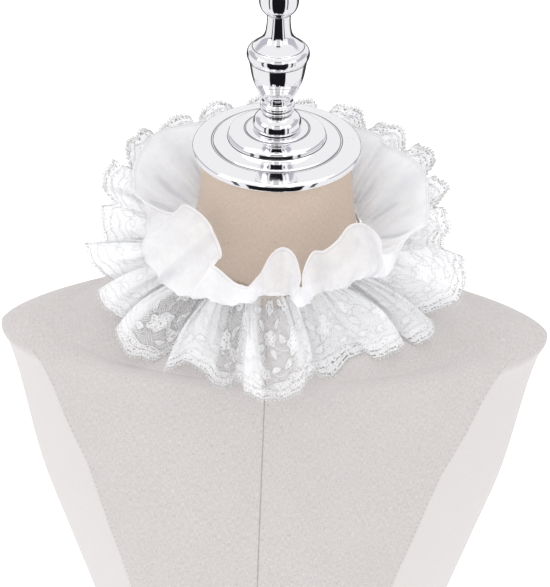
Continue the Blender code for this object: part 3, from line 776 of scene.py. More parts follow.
def creased(count, cols, length):
    """height of the creases over the sheet, mm"""
    u = (np.arange(count) * length / count)[:, None]
    s = (np.arange(cols) / (cols - 1))[None, :]
    high = np.zeros((count, cols))
    # the back is gathered more tightly
    tight = np.interp(u[:, 0], [0, 185, 225, 560, 610, length], [1.8, 1.8, 1.0, 1.0, 1.8, 1.8])[:, None]
    for u0, s0, u1, s1, tall, half in CREASES:
        f = np.clip((s - s0) / (s1 - s0), 0.0, 1.0)
        middle = u0 + (u1 - u0) * f + 1.6 * np.sin(3.0 * f + u0)
        off = (u - middle + length / 2) % length - length / 2
        high += tall * np.exp(-(off / (half * (0.8 + 0.6 * f))) ** 2) * np.sin(math.pi * np.clip(f, 0.0, 1.0) ** 0.7) ** 0.8
    return high * tight


# ---- lace: a tile of flowers, leaves and sprigs, drawn as closed outlines in mm.
# u runs along the hem, v inwards from the hem
TILES = 24
LACE_WIDTH = 78.0


def petal_flower(cu, cv, size, petals, turn, dent=0.28):
    """outline of a round flower with notched petals"""
    a = np.linspace(0, 2 * math.pi, petals * 18, endpoint=False)
    r = size * (1.0 - dent * np.abs(np.cos(petals * (a - turn) / 2)) ** 2.2)
    return np.stack([cu + r * np.cos(a), cv + r * np.sin(a)], 1)


def leaf(cu, cv, length, width, turn, bend=0.0):
    """outline of a pointed leaf from its foot at cu, cv"""
    f = np.linspace(0, 1, 15)
    w = width * np.sin(math.pi * f ** 0.8) ** 0.9
    mid = np.stack([length * f, bend * length * np.sin(math.pi * f)], 1)
    up = mid + np.stack([np.zeros_like(f), w], 1)
    down = mid - np.stack([np.zeros_like(f), w], 1)
    p = np.concatenate([up, down[::-1][1:-1]])
    c, s = math.cos(turn), math.sin(turn)
    return np.stack([cu + p[:, 0] * c - p[:, 1] * s, cv + p[:, 0] * s + p[:, 1] * c], 1)


def stem(points, steps=14):
    p = np.array(points, float)
    t = np.linspace(0, len(p) - 1, steps)
    return curve_rows(p, t)


# flowers: u, v, size, petals, turn deg
FLOWERS = [(13.0, 31.0, 9.2, 6, 10), (37.5, 44.0, 6.4, 5, 40), (30.0, 18.5, 4.6, 5, 0),
           (14.0, 58.0, 7.4, 6, 25), (40.0, 66.0, 5.4, 5, 70)]
# leaves: u, v, length, half width, turn deg, bend
LEAVES = [(23.0, 33.0, 10.5, 2.6, 38, 0.10), (22.0, 27.0, 9.0, 2.2, -38, -0.10),
          (3.5, 36.0, 10.0, 2.4, 128, 0.12), (4.5, 23.5, 9.0, 2.1, 214, 0.10),
          (36.0, 36.0, 8.5, 2.2, -62, 0.12), (43.5, 49.0, 8.0, 2.0, 40, 0.10),
          (30.5, 50.0, 8.5, 2.1, 120, -0.12), (35.5, 19.5, 8.0, 1.9, 12, 0.12),
          (25.0, 16.5, 7.5, 1.8, 196, 0.12), (20.5, 62.0, 9.0, 2.2, 22, 0.1),
          (6.5, 61.5, 8.0, 2.0, 150, -0.1)]
# stems: the points that each follows
STEMS = [[(21, 29), (27, 31), (33, 37), (36, 40)], [(30, 23), (31, 29), (27, 33)],
         [(12, 41), (10, 47), (12, 52)], [(37, 51), (36, 56), (38, 61)],
         [(4.5, 30), (-1, 31), (-6, 35), (-9, 39)], [(35, 19), (41, 16), (48, 16), (55, 18)]]


def border_wave(u, tile):
    """the two cords that run round the border, distance from the hem in mm"""
    a = 2 * math.pi * u / tile
    outer = 5.6 + 0.9 * np.sin(2 * a + 0.6)
    inner = 10.4 + 1.9 * np.cos(a) + 0.9 * np.sin(3 * a)
    return outer, inner


def motif_field(tile):
    """signed distance (mm) to the nearest outline over one tile, on a fine grid"""
    step = 0.4
    gu = np.arange(0, tile, step)
    gv = np.arange(0, LACE_WIDTH + 2, step)
    U, V = np.meshgrid(gu, gv, indexing='ij')
    outlines = []
    for cu, cv, size, petals, turn in FLOWERS:
        outlines.append(petal_flower(cu, cv, size, petals, math.radians(turn)))
    for cu, cv, length, width, turn, bend in LEAVES:
        outlines.append(leaf(cu, cv, length, width, math.radians(turn), bend))
    best = np.full(U.shape, 99.0)
    inside = np.zeros(U.shape, bool)
    for line in outlines:
        for shift in (-tile, 0.0, tile):
            p = line + [shift, 0.0]
            lo, hi = p.min(0) - 6.0, p.max(0) + 6.0
            iu = np.where((gu >= lo[0]) & (gu <= hi[0]))[0]
            iv = np.where((gv >= lo[1]) & (gv <= hi[1]))[0]
            if not len(iu) or not len(iv):
                continue
            block = np.ix_(iu, iv)
            x, y = U[block], V[block]
            q = np.roll(p, -1, 0)
            d = np.full(x.shape, 99.0)
            odd = np.zeros(x.shape, bool)
            for (ax, ay), (bx, by) in zip(p, q):
                ex, ey = bx - ax, by - ay
                f = np.clip(((x - ax) * ex + (y - ay) * ey) / (ex * ex + ey * ey + 1e-12), 0, 1)
                d = np.minimum(d, np.hypot(x - ax - f * ex, y - ay - f * ey))
                cross = (ay > y) != (by > y)
                if ay != by:
                    odd ^= cross & (x < (bx - ax) * (y - ay) / (by - ay) + ax)
            best[block] = np.minimum(best[block], d)
            inside[block] |= odd
    return np.where(inside, -best, best), step, outlines


def sample(field, step, tile, u, v):
    """bilinear reading of the tile"""
    x = (u % tile) / step
    y = np.clip(v / step, 0, field.shape[1] - 1.001)
    i, j = np.floor(x).astype(int), np.floor(y).astype(int)
    fx, fy = x - i, y - j
    n = field.shape[0]
    i0, i1 = i % n, (i + 1) % n
    return ((field[i0, j] * (1 - fx) + field[i1, j] * fx) * (1 - fy)
            + (field[i0, j + 1] * (1 - fx) + field[i1, j + 1] * fx) * fy)


def lace_material():
    """net ground with denser flowers and leaves, cords, and rows of small eyelets beside
    them; closed where the cloth lies doubled or bunched; painted shade darkens the eyelets,
    the layer seen behind, single net, the troughs of folds and the back"""
    t = Tree("lace")
    uv = t.node("ShaderNodeUVMap", uv_map="cloth").outputs["UV"]
    split = t.node("ShaderNodeSeparateXYZ")
    t.join(uv, split.inputs[0])
    uu = t.math('MULTIPLY', split.outputs[0], 1000.0)
    vv = t.math('MULTIPLY', split.outputs[1], 1000.0)
    motif = t.attribute("motif")
    outer = t.attribute("outer_cord")
    inner = t.attribute("inner_cord")
    edge = t.attribute("edge")
    double = t.attribute("double")
    # hexagon-like net
    pitch = 1.0 / 1.6
    wob = t.math('MULTIPLY', t.math('SUBTRACT', t.noise(uv, 420.0, 2.0), 0.5), 0.45)
    a = t.math('MULTIPLY', t.math('ADD', t.math('ADD', uu, t.math('MULTIPLY', vv, 0.62)), wob), pitch)
    b = t.math('MULTIPLY', t.math('ADD', t.math('SUBTRACT', uu, t.math('MULTIPLY', vv, 0.62)), wob), pitch)
    la = t.math('ABSOLUTE', t.math('SUBTRACT', t.math('FRACT', a), 0.5))
    lb = t.math('ABSOLUTE', t.math('SUBTRACT', t.math('FRACT', b), 0.5))
    net = t.math('MULTIPLY', t.math('MAXIMUM', t.ramp(la, 0.07, 0.14, 1.0, 0.0), t.ramp(lb, 0.07, 0.14, 1.0, 0.0)), 0.86)
    # closer filling of the motifs
    rows = t.math('ABSOLUTE', t.math('SUBTRACT', t.math('FRACT', t.math('MULTIPLY', t.math('ADD', vv, t.math('MULTIPLY', uu, 0.35)), 0.9)), 0.5))
    filling = t.ramp(rows, 0.28, 0.48, 0.88, 0.55)
    inside = t.ramp(motif, -0.3, 0.3, 1.0, 0.0)
    m = t.node("ShaderNodeMix", data_type='FLOAT')
    t.join(inside, m.inputs[0])
    t.join(net, m.inputs[2])
    t.join(filling, m.inputs[3])
    cover = m.outputs[0]
    band = t.math('MULTIPLY', t.ramp(inner, -1.2, 0.0, 1.0, 0.0), t.ramp(t.noise(t.mapped(uv, (900, 900, 1)), 1.0, 0.0, 0.5), 0.38, 0.58, 0.35, 0.80))
    cover = t.math('MAXIMUM', cover, band)
    # eyelets: uneven small holes in a row along each cord
    dots = t.noise(t.mapped(uv, (760, 760, 1)), 1.0, 0.0, 0.5)
    stretch = t.ramp(t.noise(uv, 55.0, 1.0), 0.40, 0.55, 0.40, 1.0)
    holes = t.math('MULTIPLY', t.ramp(dots, 0.48, 0.55), stretch)
    by_motif = t.math('MULTIPLY', t.ramp(t.math('ABSOLUTE', t.math('SUBTRACT', motif, 0.85)), 0.35, 0.7, 1.0, 0.0), 1.0)
    within = t.math('MULTIPLY', t.ramp(t.math('ABSOLUTE', t.math('ADD', motif, 1.7)), 0.25, 0.55, 1.0, 0.0), 0.6)
    by_motif = t.math('MAXIMUM', by_motif, within)
    by_outer = t.ramp(t.math('ABSOLUTE', t.math('SUBTRACT', outer, 1.0)), 0.45, 0.8, 1.0, 0.0)
    by_inner = t.ramp(t.math('ABSOLUTE', t.math('SUBTRACT', inner, 1.0)), 0.45, 0.8, 1.0, 0.0)
    by_edge = t.ramp(t.math('ABSOLUTE', t.math('SUBTRACT', edge, 2.0)), 0.45, 0.8, 1.0, 0.0)
    beside = t.math('MAXIMUM', t.math('MAXIMUM', by_motif, by_outer), t.math('MAXIMUM', by_inner, by_edge))
    strewn = t.math('MULTIPLY', t.ramp(t.noise(t.mapped(uv, (520, 520, 1)), 1.0, 0.0, 0.5), 0.67, 0.71), 0.7)
    eyelet = t.math('MAXIMUM', t.math('MULTIPLY', beside, holes), strewn)
    rim = t.ramp(edge, 0.9, 1.4, 0.95, 0.0)
    lines = t.math('MAXIMUM', t.ramp(t.math('ABSOLUTE', outer), 0.4, 0.6, 1.0, 0.0),
                   t.ramp(t.math('ABSOLUTE', inner), 0.4, 0.6, 1.0, 0.0))
    solid = t.math('MAXIMUM', t.math('MAXIMUM', lines, rim), t.ramp(t.math('ABSOLUTE', motif), 0.3, 0.48, 0.9, 0.0))
    cover = t.math('MULTIPLY', cover, t.math('SUBTRACT', 1.0, t.math('MULTIPLY', eyelet, 0.9)))
    cover = t.math('MAXIMUM', cover, solid)
    # where the cloth is doubled the layer behind closes the holes
    open_part = t.math('SUBTRACT', 1.0, cover)
    closed = t.math('MULTIPLY', open_part, t.math('SUBTRACT', 1.0, t.math('MULTIPLY', double, 0.93)))
    cover = t.math('SUBTRACT', 1.0, closed, clamp=True)
    tone = t.noise(uv, 70.0, 2.0)
    white = t.mix(t.ramp(tone, 0.3, 0.7), (0.958, 0.962, 0.978), (0.978, 0.982, 0.994))
    veil = t.ramp(double, 0.62, 0.92)
    border = t.ramp(edge, 9.0, 17.0, 1.0, 0.0)
    # painted shade: the layer behind, seen through the holes it closes, is painted darker
    behind = t.math('MULTIPLY', t.math('MULTIPLY', open_part, double), 0.26)
    colour = t.mix(behind, white, (0.76, 0.765, 0.785))
    # painted shade: single net away from the motifs is painted darker
    single = t.math('MULTIPLY', t.math('SUBTRACT', 1.0, double, clamp=True), t.math('SUBTRACT', 1.0, inside))
    colour = t.mix(t.math('MULTIPLY', single, 0.30), colour, (0.66, 0.665, 0.675))
    # painted shade: the eyelets are painted near black where the cloth covers them
    eyelet_shade = t.math('MULTIPLY', eyelet, t.math('MULTIPLY_ADD', border, 0.24, 0.54))
    kept = t.math('MULTIPLY', t.math('SUBTRACT', 1.0, t.math('MULTIPLY', t.ramp(edge, 2.5, 9.0, 1.0, 0.0), 0.75)), 0.62)
    eyelet_shade = t.math('MULTIPLY', eyelet_shade, t.math('SUBTRACT', 1.0, t.math('MULTIPLY', veil, kept)))
    # painted shade: the lace is painted darker in the troughs of its folds
    fold_shade = t.attribute("fold_shade")
    colour = t.mix(t.ramp(fold_shade, -1.6, 0.0, 0.36, 0.0), colour, (0.60, 0.61, 0.64))
    # painted shade: the lace is painted darker towards the back
    colour = t.mix(t.math('MULTIPLY', t.attribute("back_shade"), t.ramp(t.noise(uv, 130.0, 2.0), 0.35, 0.65, 0.45, 1.0)),
                   colour, (0.52, 0.525, 0.55))
    eyelet_shade = t.math('MULTIPLY', eyelet_shade, t.attribute("specks"), clamp=True)
    colour = t.mix(eyelet_shade, colour, (0.20, 0.19, 0.19))
    normal = t.bump(t.math('ADD', cover, solid), 0.35, 0.0004)
    b1 = t.principled(colour, 0.8, normal)
    b1.inputs["Specular IOR Level"].default_value = 0.25
    back = t.node("ShaderNodeBsdfTranslucent")
    t.join(colour, back.inputs["Color"])
    t.join(normal, back.inputs["Normal"])
    both = t.node("ShaderNodeMixShader")
    both.inputs[0].default_value = 0.20
    t.join(b1.outputs[0], both.inputs[1])
    t.join(back.outputs[0], both.inputs[2])
    clear = t.node("ShaderNodeBsdfTransparent")
    show = t.node("ShaderNodeMixShader")
    t.join(cover, show.inputs[0])
    t.join(clear.outputs[0], show.inputs[1])
    t.join(both.outputs[0], show.inputs[2])
    return t.out(show.outputs[0])


def organza_material():
    """sheer stiff organza: fine even threads; painted highlight on the ridges of the folds and painted shade in their
    troughs
    """
    t = Tree("organza")
    uv = t.node("ShaderNodeUVMap", uv_map="cloth").outputs["UV"]
    warp = t.noise(t.mapped(uv, (2300, 130, 1)), 1.0, 1.0, 0.5)
    weft = t.noise(t.mapped(uv, (130, 2300, 1)), 1.0, 1.0, 0.5)
    weave = t.math('MULTIPLY', t.math('ADD', warp, weft), 0.5)
    soft = t.noise(uv, 60.0, 3.0)
    edge = t.attribute("edge")
    hem = t.ramp(edge, 2.2, 2.8, 1.0, 0.0)
    stitch = t.math('MULTIPLY', t.ramp(t.math('ABSOLUTE', t.math('SUBTRACT', edge, 1.9)), 0.35, 0.75, 1.0, 0.0), 0.34)
    cover = t.math('ADD', t.ramp(weave, 0.30, 0.70, 0.83, 0.95, smooth=False),
                   t.ramp(soft, 0.3, 0.7, -0.03, 0.05))
    cover = t.math('MAXIMUM', cover, t.math('MULTIPLY', hem, 0.93), clamp=True)
    colour = t.mix(t.ramp(soft, 0.3, 0.7), (0.948, 0.956, 0.984), (0.968, 0.974, 0.994))
    fold_shade = t.attribute("fold_shade")
    # painted shade in the troughs of the folds and painted highlight on their ridges
    colour = t.mix(t.ramp(fold_shade, -1.5, 0.15, 0.55, 0.0), colour, (0.62, 0.635, 0.68))
    colour = t.mix(t.ramp(fold_shade, 0.25, 1.3, 0.0, 0.8), colour, (0.99, 0.99, 0.995))
    colour = t.mix(stitch, colour, (0.70, 0.66, 0.68))
    normal = t.bump(weave, 0.25, 0.0003)
    b = t.principled(colour, 0.55, normal)
    b.inputs["Sheen Weight"].default_value = 0.25
    b.inputs["Sheen Roughness"].default_value = 0.4
    back = t.node("ShaderNodeBsdfTranslucent")
    t.join(colour, back.inputs["Color"])
    both = t.node("ShaderNodeMixShader")
    both.inputs[0].default_value = 0.46
    t.join(b.outputs[0], both.inputs[1]); t.join(back.outputs[0], both.inputs[2])
    clear = t.node("ShaderNodeBsdfTransparent")
    show = t.node("ShaderNodeMixShader")
    t.join(cover, show.inputs[0]); t.join(clear.outputs[0], show.inputs[1]); t.join(both.outputs[0], show.inputs[2])
    return t.out(show.outputs[0])


def thread_material(name, tint):
    """twisted thread of the cords, picots and hems"""
    t = Tree(name)
    place = t.node("ShaderNodeTexCoord").outputs["Object"]
    ply = t.noise(place, 900.0, 1.0, 0.4)
    tone = t.noise(place, 70.0, 2.0)
    colour = t.mix(t.ramp(ply, 0.35, 0.65), tuple(0.93 * c for c in tint), tint)
    colour = t.mix(t.ramp(tone, 0.35, 0.7, 0.0, 0.25), colour, tuple(0.96 * c for c in tint))
    normal = t.bump(ply, 0.5, 0.0003)
    b = t.principled(colour, 0.75, normal)
    b.inputs["Sheen Weight"].default_value = 0.2
    back = t.node("ShaderNodeBsdfTranslucent")
    t.join(colour, back.inputs["Color"])
    both = t.node("ShaderNodeMixShader")
    both.inputs[0].default_value = 0.3
    t.join(b.outputs[0], both.inputs[1]); t.join(back.outputs[0], both.inputs[2])
    return t.out(both.outputs[0])


lace_mat = lace_material()
organza_mat = organza_material()
cord_mat = thread_material("lace_cord", (0.930, 0.930, 0.935))
# the picot thread is painted greyer than the lace, painted shade along the edge
picot_mat = thread_material("lace_picot", (0.83, 0.82, 0.81))
hem_mat = thread_material("organza_hem_thread", (0.965, 0.955, 0.962))

# ---- lace frill
LACE_COUNT, LACE_ACROSS = 1152, 62
sheet, lace_length = frill_base(LACE_FOLDS, LACE_COUNT, LACE_ACROSS, -1.6, True)
tile = lace_length / TILES
hem_u = np.arange(LACE_COUNT) * lace_length / LACE_COUNT
s = np.arange(LACE_ACROSS + 1) / LACE_ACROSS
# the scalloped edge: three scallops a tile, deeper on the wave of the border
outward = sheet[:, -1] - sheet[:, -2]
outward /= np.linalg.norm(outward, axis=1)[:, None]
phase = 2 * math.pi * hem_u / tile
scallop = 1.5 * np.abs(np.sin(1.5 * phase)) + 1.3 * np.sin(phase) + 0.5 * np.sin(2 * phase + 1.0) - 0.6
sheet += (outward * scallop[:, None])[:, None] * (s[None, :, None] ** 3)
lift = gathers(sheet, lace_length, 11, (5.0, 13.0), 0.8, 0.7, -1.0)
wave = soft_waves(lace_length, LACE_COUNT, 12, 9.0, 26.0)[:, None]
lift = lift + wave * 0.9 * np.sin(np.clip((s[None, :] - 0.2) / 0.8, 0, 1) * math.pi / 2)
# how deep each of the folds lies, which paints shade in the troughs of the lace
lace_fold_shade = 1.0 * wave * np.sin(np.clip(s[None, :] / 0.6, 0, 1) * math.pi / 2) + 0.5 * (lift - lift.mean(0)[None, :])
sheet = sheet - normals_of(sheet) * lift[..., None]
sheet = keep_clear(sheet, True)
lace_sheet = sheet
lace_normals = normals_of(sheet)
step_v = np.linalg.norm(np.diff(sheet, axis=1), axis=2)
from_root = np.concatenate([np.zeros((LACE_COUNT, 1)), np.cumsum(step_v, 1)], 1)
hem_v = from_root[:, -1:] - from_root
uu = np.repeat(hem_u[:, None], LACE_ACROSS + 1, 1)
field, field_step, outlines = motif_field(tile)
motif = sample(field, field_step, tile, uu, hem_v)
outer_line, inner_line = border_wave(uu, tile)
table = np.array(LACE_DOUBLE, float)
double = np.interp(uu, table[:, 0] * lace_length / table[-1, 0], table[:, 1])
specks, back_shade = (np.interp(uu, np.array(rows)[:, 0] * lace_length / rows[-1][0], np.array(rows)[:, 1])
                for rows in (LACE_EYELET_SHADE, LACE_BACK_SHADE))
# bunched cloth by the neck line is close too, and the border is always a single layer
gap_now = np.linalg.norm(np.roll(sheet, -1, 0) - sheet, axis=2)
gap_now = sum(np.roll(gap_now, k, 0) for k in range(-4, 5)) / 9.0
bunch = np.clip((lace_length / LACE_COUNT / gap_now - 1.15) / 1.1, 0.0, 0.9)
double = np.maximum(double, bunch)
inward = np.clip((hem_v - 2.0) / 9.0, 0.0, 1.0)
double = double * (1.0 - 0.45 * (1.0 - inward) * (1.0 - np.clip(2.0 * back_shade, 0.0, 1.0)))
quads = grid_quads(LACE_COUNT, LACE_ACROSS + 1)
uv = np.stack([uu, hem_v], -1).reshape(-1, 2)
quad_uv = uv[quads.ravel()].reshape(-1, 4, 2)
wide = quad_uv[..., 0].max(1) - quad_uv[..., 0].min(1) > lace_length / 2
fix = quad_uv[wide]
fix[..., 0] = np.where(fix[..., 0] < lace_length / 2, fix[..., 0] + lace_length, fix[..., 0])
quad_uv[wide] = fix
lace = put_mesh("lace_frill_cloth", sheet.reshape(-1, 3), quads, lace_mat, quad_uv.reshape(-1, 2),
                {"motif": np.clip(motif, -6, 6), "outer_cord": hem_v - outer_line,
                 "inner_cord": hem_v - inner_line, "edge": hem_v, "double": double,
                 "fold_shade": lace_fold_shade, "specks": specks, "back_shade": back_shade})
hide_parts("lace_frill")


def on_lace(u, v, lift_by=0.0):
    """the place on the lace at u along the hem and v inwards from it, in mm"""
    x = (np.asarray(u, float) % lace_length) * LACE_COUNT / lace_length
    i = np.floor(x).astype(int) % LACE_COUNT
    j = (i + 1) % LACE_COUNT
    f = (x - np.floor(x))[:, None]
    place, normal = [], []
    for idx in (i, j):
        col = hem_v[idx]
        k = (col > np.asarray(v)[:, None]).sum(1) - 1
        k = np.clip(k, 0, LACE_ACROSS - 1)
        r = np.arange(len(k))
        hi, lo = col[r, k], col[r, k + 1]
        g = np.clip((hi - v) / np.maximum(hi - lo, 1e-9), 0, 1)[:, None]
        place.append(lace_sheet[idx, k] * (1 - g) + lace_sheet[idx, k + 1] * g)
        normal.append(lace_normals[idx, k])
    p = place[0] * (1 - f) + place[1] * f
    n = normal[0] * (1 - f) + normal[1] * f
    n /= np.maximum(np.linalg.norm(n, axis=1), 1e-9)[:, None]
    return p + n * lift_by, n


# raised cords of the motifs
narrow = hem_v[:, 0].min()
lines, guides = [], []
for k in range(TILES):
    for line in outlines:
        closed = np.concatenate([line, line[:1]])
        gap = np.linalg.norm(np.diff(closed, axis=0), axis=1)
        run_at = np.concatenate([[0], np.cumsum(gap)])
        n = max(8, int(run_at[-1] / 1.25))
        at = np.arange(n) * run_at[-1] / n
        x = np.interp(at, run_at, closed[:, 0]) + k * tile
        y = np.interp(at, run_at, closed[:, 1])
        x0 = int((x.mean() % lace_length) * LACE_COUNT / lace_length) % LACE_COUNT
        if y.max() > hem_v[x0, 0] - 4.0:
            continue
        p, g = on_lace(x, y)
        lines.append((p, True))
        guides.append(g)
    for points in STEMS:
        q = stem(points)
        x0 = int(((q[:, 0].mean() + k * tile) % lace_length) * LACE_COUNT / lace_length) % LACE_COUNT
        if q[:, 1].max() > hem_v[x0, 0] - 4.0:
            continue
        p, g = on_lace(q[:, 0] + k * tile, q[:, 1])
        lines.append((p, False))
        guides.append(g)
pts, q = tubes(lines, 0.27, 4, guides)
motif_cords = put_mesh("lace_motif_cords", pts, q, cord_mat)
# the two border cords and the edge cord
u_all = np.arange(1400) * lace_length / 1400
outer_at, inner_at = border_wave(u_all, tile)
lines, guides = [], []
for v_at in (outer_at, inner_at, np.full(1400, 0.25)):
    p, g = on_lace(u_all, v_at)
    lines.append((p, True))
    guides.append(g)
pts, q = tubes(lines, [0.27, 0.25, 0.34], 4, guides)
border_cords = put_mesh("lace_border_cords", pts, q, cord_mat)
# picots: small loops of thread that stand out from the edge
PICOTS = 396
lines, guides = [], []
for k in range(PICOTS):
    u0 = (k + 0.5) * lace_length / PICOTS
    base, n = on_lace(np.array([u0 - 0.95, u0, u0 + 0.95]), np.array([0.2, 0.2, 0.2]))
    inner_p, _ = on_lace(np.array([u0]), np.array([2.0]))
    out = base[1] - inner_p[0]
    out /= max(np.linalg.norm(out), 1e-9)
    side = base[2] - base[0]
    side /= max(np.linalg.norm(side), 1e-9)
    rise = 2.1 + 0.3 * math.sin(2.3 * k)
    a = np.linspace(-0.25 * math.pi, 1.25 * math.pi, 8)
    loop = base[1] + np.cos(a)[:, None] * side * 0.78 + (np.sin(a)[:, None] + 0.7) * out * rise / 1.7
    lines.append((loop, False))
    guides.append(np.tile(n[1], (8, 1)))
pts, q = tubes(lines, 0.44, 4, guides)
picots = put_mesh("lace_picot_edge", pts, q, picot_mat)

# ---- organza frill
ORG_COUNT, ORG_ACROSS = 1000, 44
sheet, org_length = frill_base(ORGANZA_FOLDS, ORG_COUNT, ORG_ACROSS, 1.2, False)
s = np.arange(ORG_ACROSS + 1) / ORG_ACROSS
lift = gathers(sheet, org_length, 21, (6.0, 18.0), 0.45, 1.6, 1.0, 1.7)
wave = soft_waves(org_length, ORG_COUNT, 22, 12.0, 30.0)[:, None]
lift = lift + wave * 0.9 * np.sin(np.clip((s[None, :] - 0.2) / 0.8, 0, 1) * math.pi / 2)
ridges = creased(ORG_COUNT, ORG_ACROSS + 1, org_length)
lift = lift + 1.3 * ridges
# how high each of the folds stands, which paints shade and highlight on the organza
org_fold_shade = np.clip(0.7 * ridges, -0.6, 1.0) + 0.35 * (lift - lift.mean(0)[None, :]) + 0.35 * wave
sheet = sheet - normals_of(sheet) * lift[..., None]
sheet = keep_clear(sheet, False)
org_sheet = sheet
step_v = np.linalg.norm(np.diff(sheet, axis=1), axis=2)
from_root = np.concatenate([np.zeros((ORG_COUNT, 1)), np.cumsum(step_v, 1)], 1)
org_v = from_root[:, -1:] - from_root
org_u = np.repeat((np.arange(ORG_COUNT) * org_length / ORG_COUNT)[:, None], ORG_ACROSS + 1, 1)
quads = grid_quads(ORG_COUNT, ORG_ACROSS + 1)
uv = np.stack([org_u, org_v], -1).reshape(-1, 2)
quad_uv = uv[quads.ravel()].reshape(-1, 4, 2)
wide = quad_uv[..., 0].max(1) - quad_uv[..., 0].min(1) > org_length / 2
fix = quad_uv[wide]
fix[..., 0] = np.where(fix[..., 0] < org_length / 2, fix[..., 0] + org_length, fix[..., 0])
quad_uv[wide] = fix
organza = put_mesh("organza_frill_cloth", sheet.reshape(-1, 3), quads, organza_mat,
                   quad_uv.reshape(-1, 2), {"edge": org_v, "fold_shade": org_fold_shade})
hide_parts("organza_frill")
pts, q = tubes([(sheet[:, -1], True)], 0.5, 6, [normals_of(sheet)[:, -1]])
org_hem = put_mesh("organza_rolled_hem", pts, q, hem_mat)

# ---- neck band: a narrow woven tape round the neck line
def tape_material():
    t = Tree("tape")
    uv = t.node("ShaderNodeUVMap", uv_map="cloth").outputs["UV"]
    rib = t.noise(t.mapped(uv, (1800, 90, 1)), 1.0, 1.0, 0.5)
    colour = t.mix(t.ramp(rib, 0.3, 0.7), (0.87, 0.87, 0.865), (0.95, 0.95, 0.945))
    b = t.principled(colour, 0.8, t.bump(rib, 0.5, 0.0003))
    return t.out(b.outputs[0])


BAND_ROUND, BAND_HALF = 360, 2.6
band_radius = NECKLINE_R - 0.6 - 0.3 - 0.2 - 0.5
a = 2 * math.pi * np.arange(BAND_ROUND) / BAND_ROUND
# the strip is folded over the top edge: up the outside, over, and down the inside
rise = np.linspace(-BAND_HALF, BAND_HALF - 0.45, 7)
over = np.linspace(0, math.pi, 7)[1:-1]
loop = np.concatenate([np.stack([np.full(7, 0.45), rise], 1),
                       np.stack([0.45 * np.cos(over), BAND_HALF - 0.45 + 0.45 * np.sin(over)], 1),
                       np.stack([np.full(7, -0.45), rise[::-1]], 1)])
strip = np.concatenate([[0], np.cumsum(np.linalg.norm(np.diff(loop, axis=0), axis=1))])
ripple = 0.12 * np.sin(46 * a) + 0.08 * np.sin(71 * a + 1.0)
band = np.stack([(band_radius + loop[None, :, 0] + ripple[:, None]) * np.sin(a)[:, None],
                 -(band_radius + loop[None, :, 0] + ripple[:, None]) * np.cos(a)[:, None],
                 -NECKLINE_DROP - NECKLINE_TILT * np.cos(a)[:, None] + loop[None, :, 1]], -1)
cols = len(loop)
quads = grid_quads(BAND_ROUND, cols)[:, ::-1]
girth = 2 * math.pi * band_radius
uv = np.stack([np.repeat((a * band_radius)[:, None], cols, 1),
               np.repeat(strip[None, :], BAND_ROUND, 0)], -1).reshape(-1, 2)
quad_uv = uv[quads.ravel()].reshape(-1, 4, 2)
wide = quad_uv[..., 0].max(1) - quad_uv[..., 0].min(1) > girth / 2
fix = quad_uv[wide]
fix[..., 0] = np.where(fix[..., 0] < girth / 2, fix[..., 0] + girth, fix[..., 0])
quad_uv[wide] = fix
tape = put_mesh("neck_band_tape", band.reshape(-1, 3), quads, tape_material(), quad_uv.reshape(-1, 2))
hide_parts("neck_band")

# ------------------------------------------------------------- stage and light
floor_t = Tree("floor")
place = floor_t.node("ShaderNodeTexCoord").outputs["Object"]
tone = floor_t.noise(place, 3.0, 2.0)
floor_b = floor_t.principled(floor_t.mix(tone, (0.955, 0.955, 0.955), (0.965, 0.965, 0.965)), 0.95)
floor_b.inputs["Specular IOR Level"].default_value = 0.0
floor_b.inputs["Emission Color"].default_value = (1, 1, 1, 1)
floor_b.inputs["Emission Strength"].default_value = 0.30
floor_mat = floor_t.out(floor_b.outputs[0])
me = bpy.data.meshes.new("floor")
R = 14.0
me.from_pydata([(-R, -R, 0), (R, -R, 0), (R, R, 0), (-R, R, 0)], [], [(0, 1, 2, 3)])
me.materials.append(floor_mat)
floor = bpy.data.objects.new("floor", me)
floor.location.z = -0.0005
bpy.context.scene.collection.objects.link(floor)
floor.visible_glossy = False

world = bpy.data.worlds.new("studio")
bpy.context.scene.world = world
w = Tree("studio", world)
rays = w.node("ShaderNodeLightPath")
direction = w.node("ShaderNodeTexCoord").outputs["Generated"]
split = w.node("ShaderNodeSeparateXYZ")
w.join(direction, split.inputs[0])
X, Y, Z = split.outputs
# dark end of the studio behind the camera, seen in the polished metal, and narrow dark
# gaps between the white walls
front_ratio = w.math('DIVIDE', w.math('ABSOLUTE', w.math('SUBTRACT', X, w.math('MULTIPLY', Y, -0.07))),
                     w.math('MAXIMUM', w.math('MULTIPLY', Y, -1.0), 0.001))
dark_front = w.math('MULTIPLY', w.ramp(front_ratio, 0.72, 0.82, 1.0, 0.0), w.ramp(Z, 0.28, 0.36, 1.0, 0.0))
gap_front = w.math('MULTIPLY', w.ramp(w.math('ABSOLUTE', w.math('SUBTRACT', front_ratio, 1.35)), 0.16, 0.24, 1.0, 0.0),
                   w.ramp(w.math('ABSOLUTE', w.math('ADD', Z, 0.12)), 0.44, 0.50, 1.0, 0.0))
far = w.math('MULTIPLY', w.ramp(Y, 0.50, 0.62), w.ramp(w.math('ADD', Z, 0.40), 0.26, 0.34, 1.0, 0.0))
slot = w.math('MULTIPLY', w.ramp(front_ratio, 0.26, 0.32, 1.0, 0.0), w.ramp(Z, 0.78, 0.86, 1.0, 0.0))
dark_front = w.math('MAXIMUM', dark_front, slot)
dark = w.math('MAXIMUM', w.math('MAXIMUM', dark_front, w.math('MULTIPLY', gap_front, 0.9)), w.math('MULTIPLY', far, 0.95))
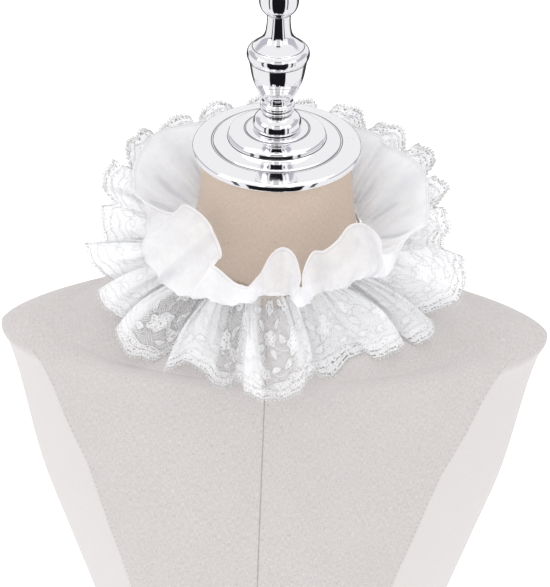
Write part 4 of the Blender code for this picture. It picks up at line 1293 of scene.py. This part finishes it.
sides = w.math('MULTIPLY', w.ramp(w.math('ABSOLUTE', X), 0.66, 0.76),
               w.math('MULTIPLY', w.ramp(Z, 0.02, 0.10), w.ramp(Z, 0.50, 0.62, 1.0, 0.0)))
paper = w.mix(w.math('MULTIPLY', sides, 0.85), (1.0, 1.0, 1.015), (0.50, 0.495, 0.56))
mirror = w.mix(dark, paper, (0.010, 0.010, 0.013))
even = w.node("ShaderNodeBackground")
even.inputs["Color"].default_value = (1.0, 1.0, 1.0, 1.0)
even.inputs["Strength"].default_value = 0.90
seen = w.node("ShaderNodeBackground")
w.join(mirror, seen.inputs["Color"])
seen.inputs["Strength"].default_value = 0.92
white = w.node("ShaderNodeBackground")
white.inputs["Color"].default_value = (1.0, 1.0, 1.0, 1.0)
white.inputs["Strength"].default_value = 1.0
m1 = w.node("ShaderNodeMixShader")
w.join(rays.outputs["Is Glossy Ray"], m1.inputs[0])
w.join(even.outputs[0], m1.inputs[1])
w.join(seen.outputs[0], m1.inputs[2])
m2 = w.node("ShaderNodeMixShader")
w.join(rays.outputs["Is Camera Ray"], m2.inputs[0])
w.join(m1.outputs[0], m2.inputs[1])
w.join(white.outputs[0], m2.inputs[2])
wo = w.node("ShaderNodeOutputWorld")
w.join(m2.outputs[0], wo.inputs["Surface"])


def area(name, place, aim, size, power):
    data = bpy.data.lights.new(name, 'AREA')
    data.shape = 'RECTANGLE'
    data.size, data.size_y = size
    data.energy = power
    ob = bpy.data.objects.new(name, data)
    bpy.context.scene.collection.objects.link(ob)
    from mathutils import Vector
    ob.location = place
    ob.rotation_mode = 'QUATERNION'
    ob.rotation_quaternion = (Vector(aim) - Vector(place)).to_track_quat('-Z', 'Y')
    return ob


area("front", (0.15, -2.45, 2.05), (0, 0, 0.40), (2.2, 1.8), 8.5)
area("left", (-2.1, -1.0, 1.7), (0, 0, 0.44), (1.2, 1.2), 7.0)
area("right", (2.1, -1.2, 1.6), (0, 0, 0.40), (1.4, 1.4), 3.5)
area("top", (0.0, 0.5, 2.8), (0, 0, 0.40), (2.2, 1.6), 16.0)

scene = bpy.context.scene
scene.view_settings.view_transform = 'Standard'
scene.view_settings.look = 'None'
scene.view_settings.exposure = 0.0
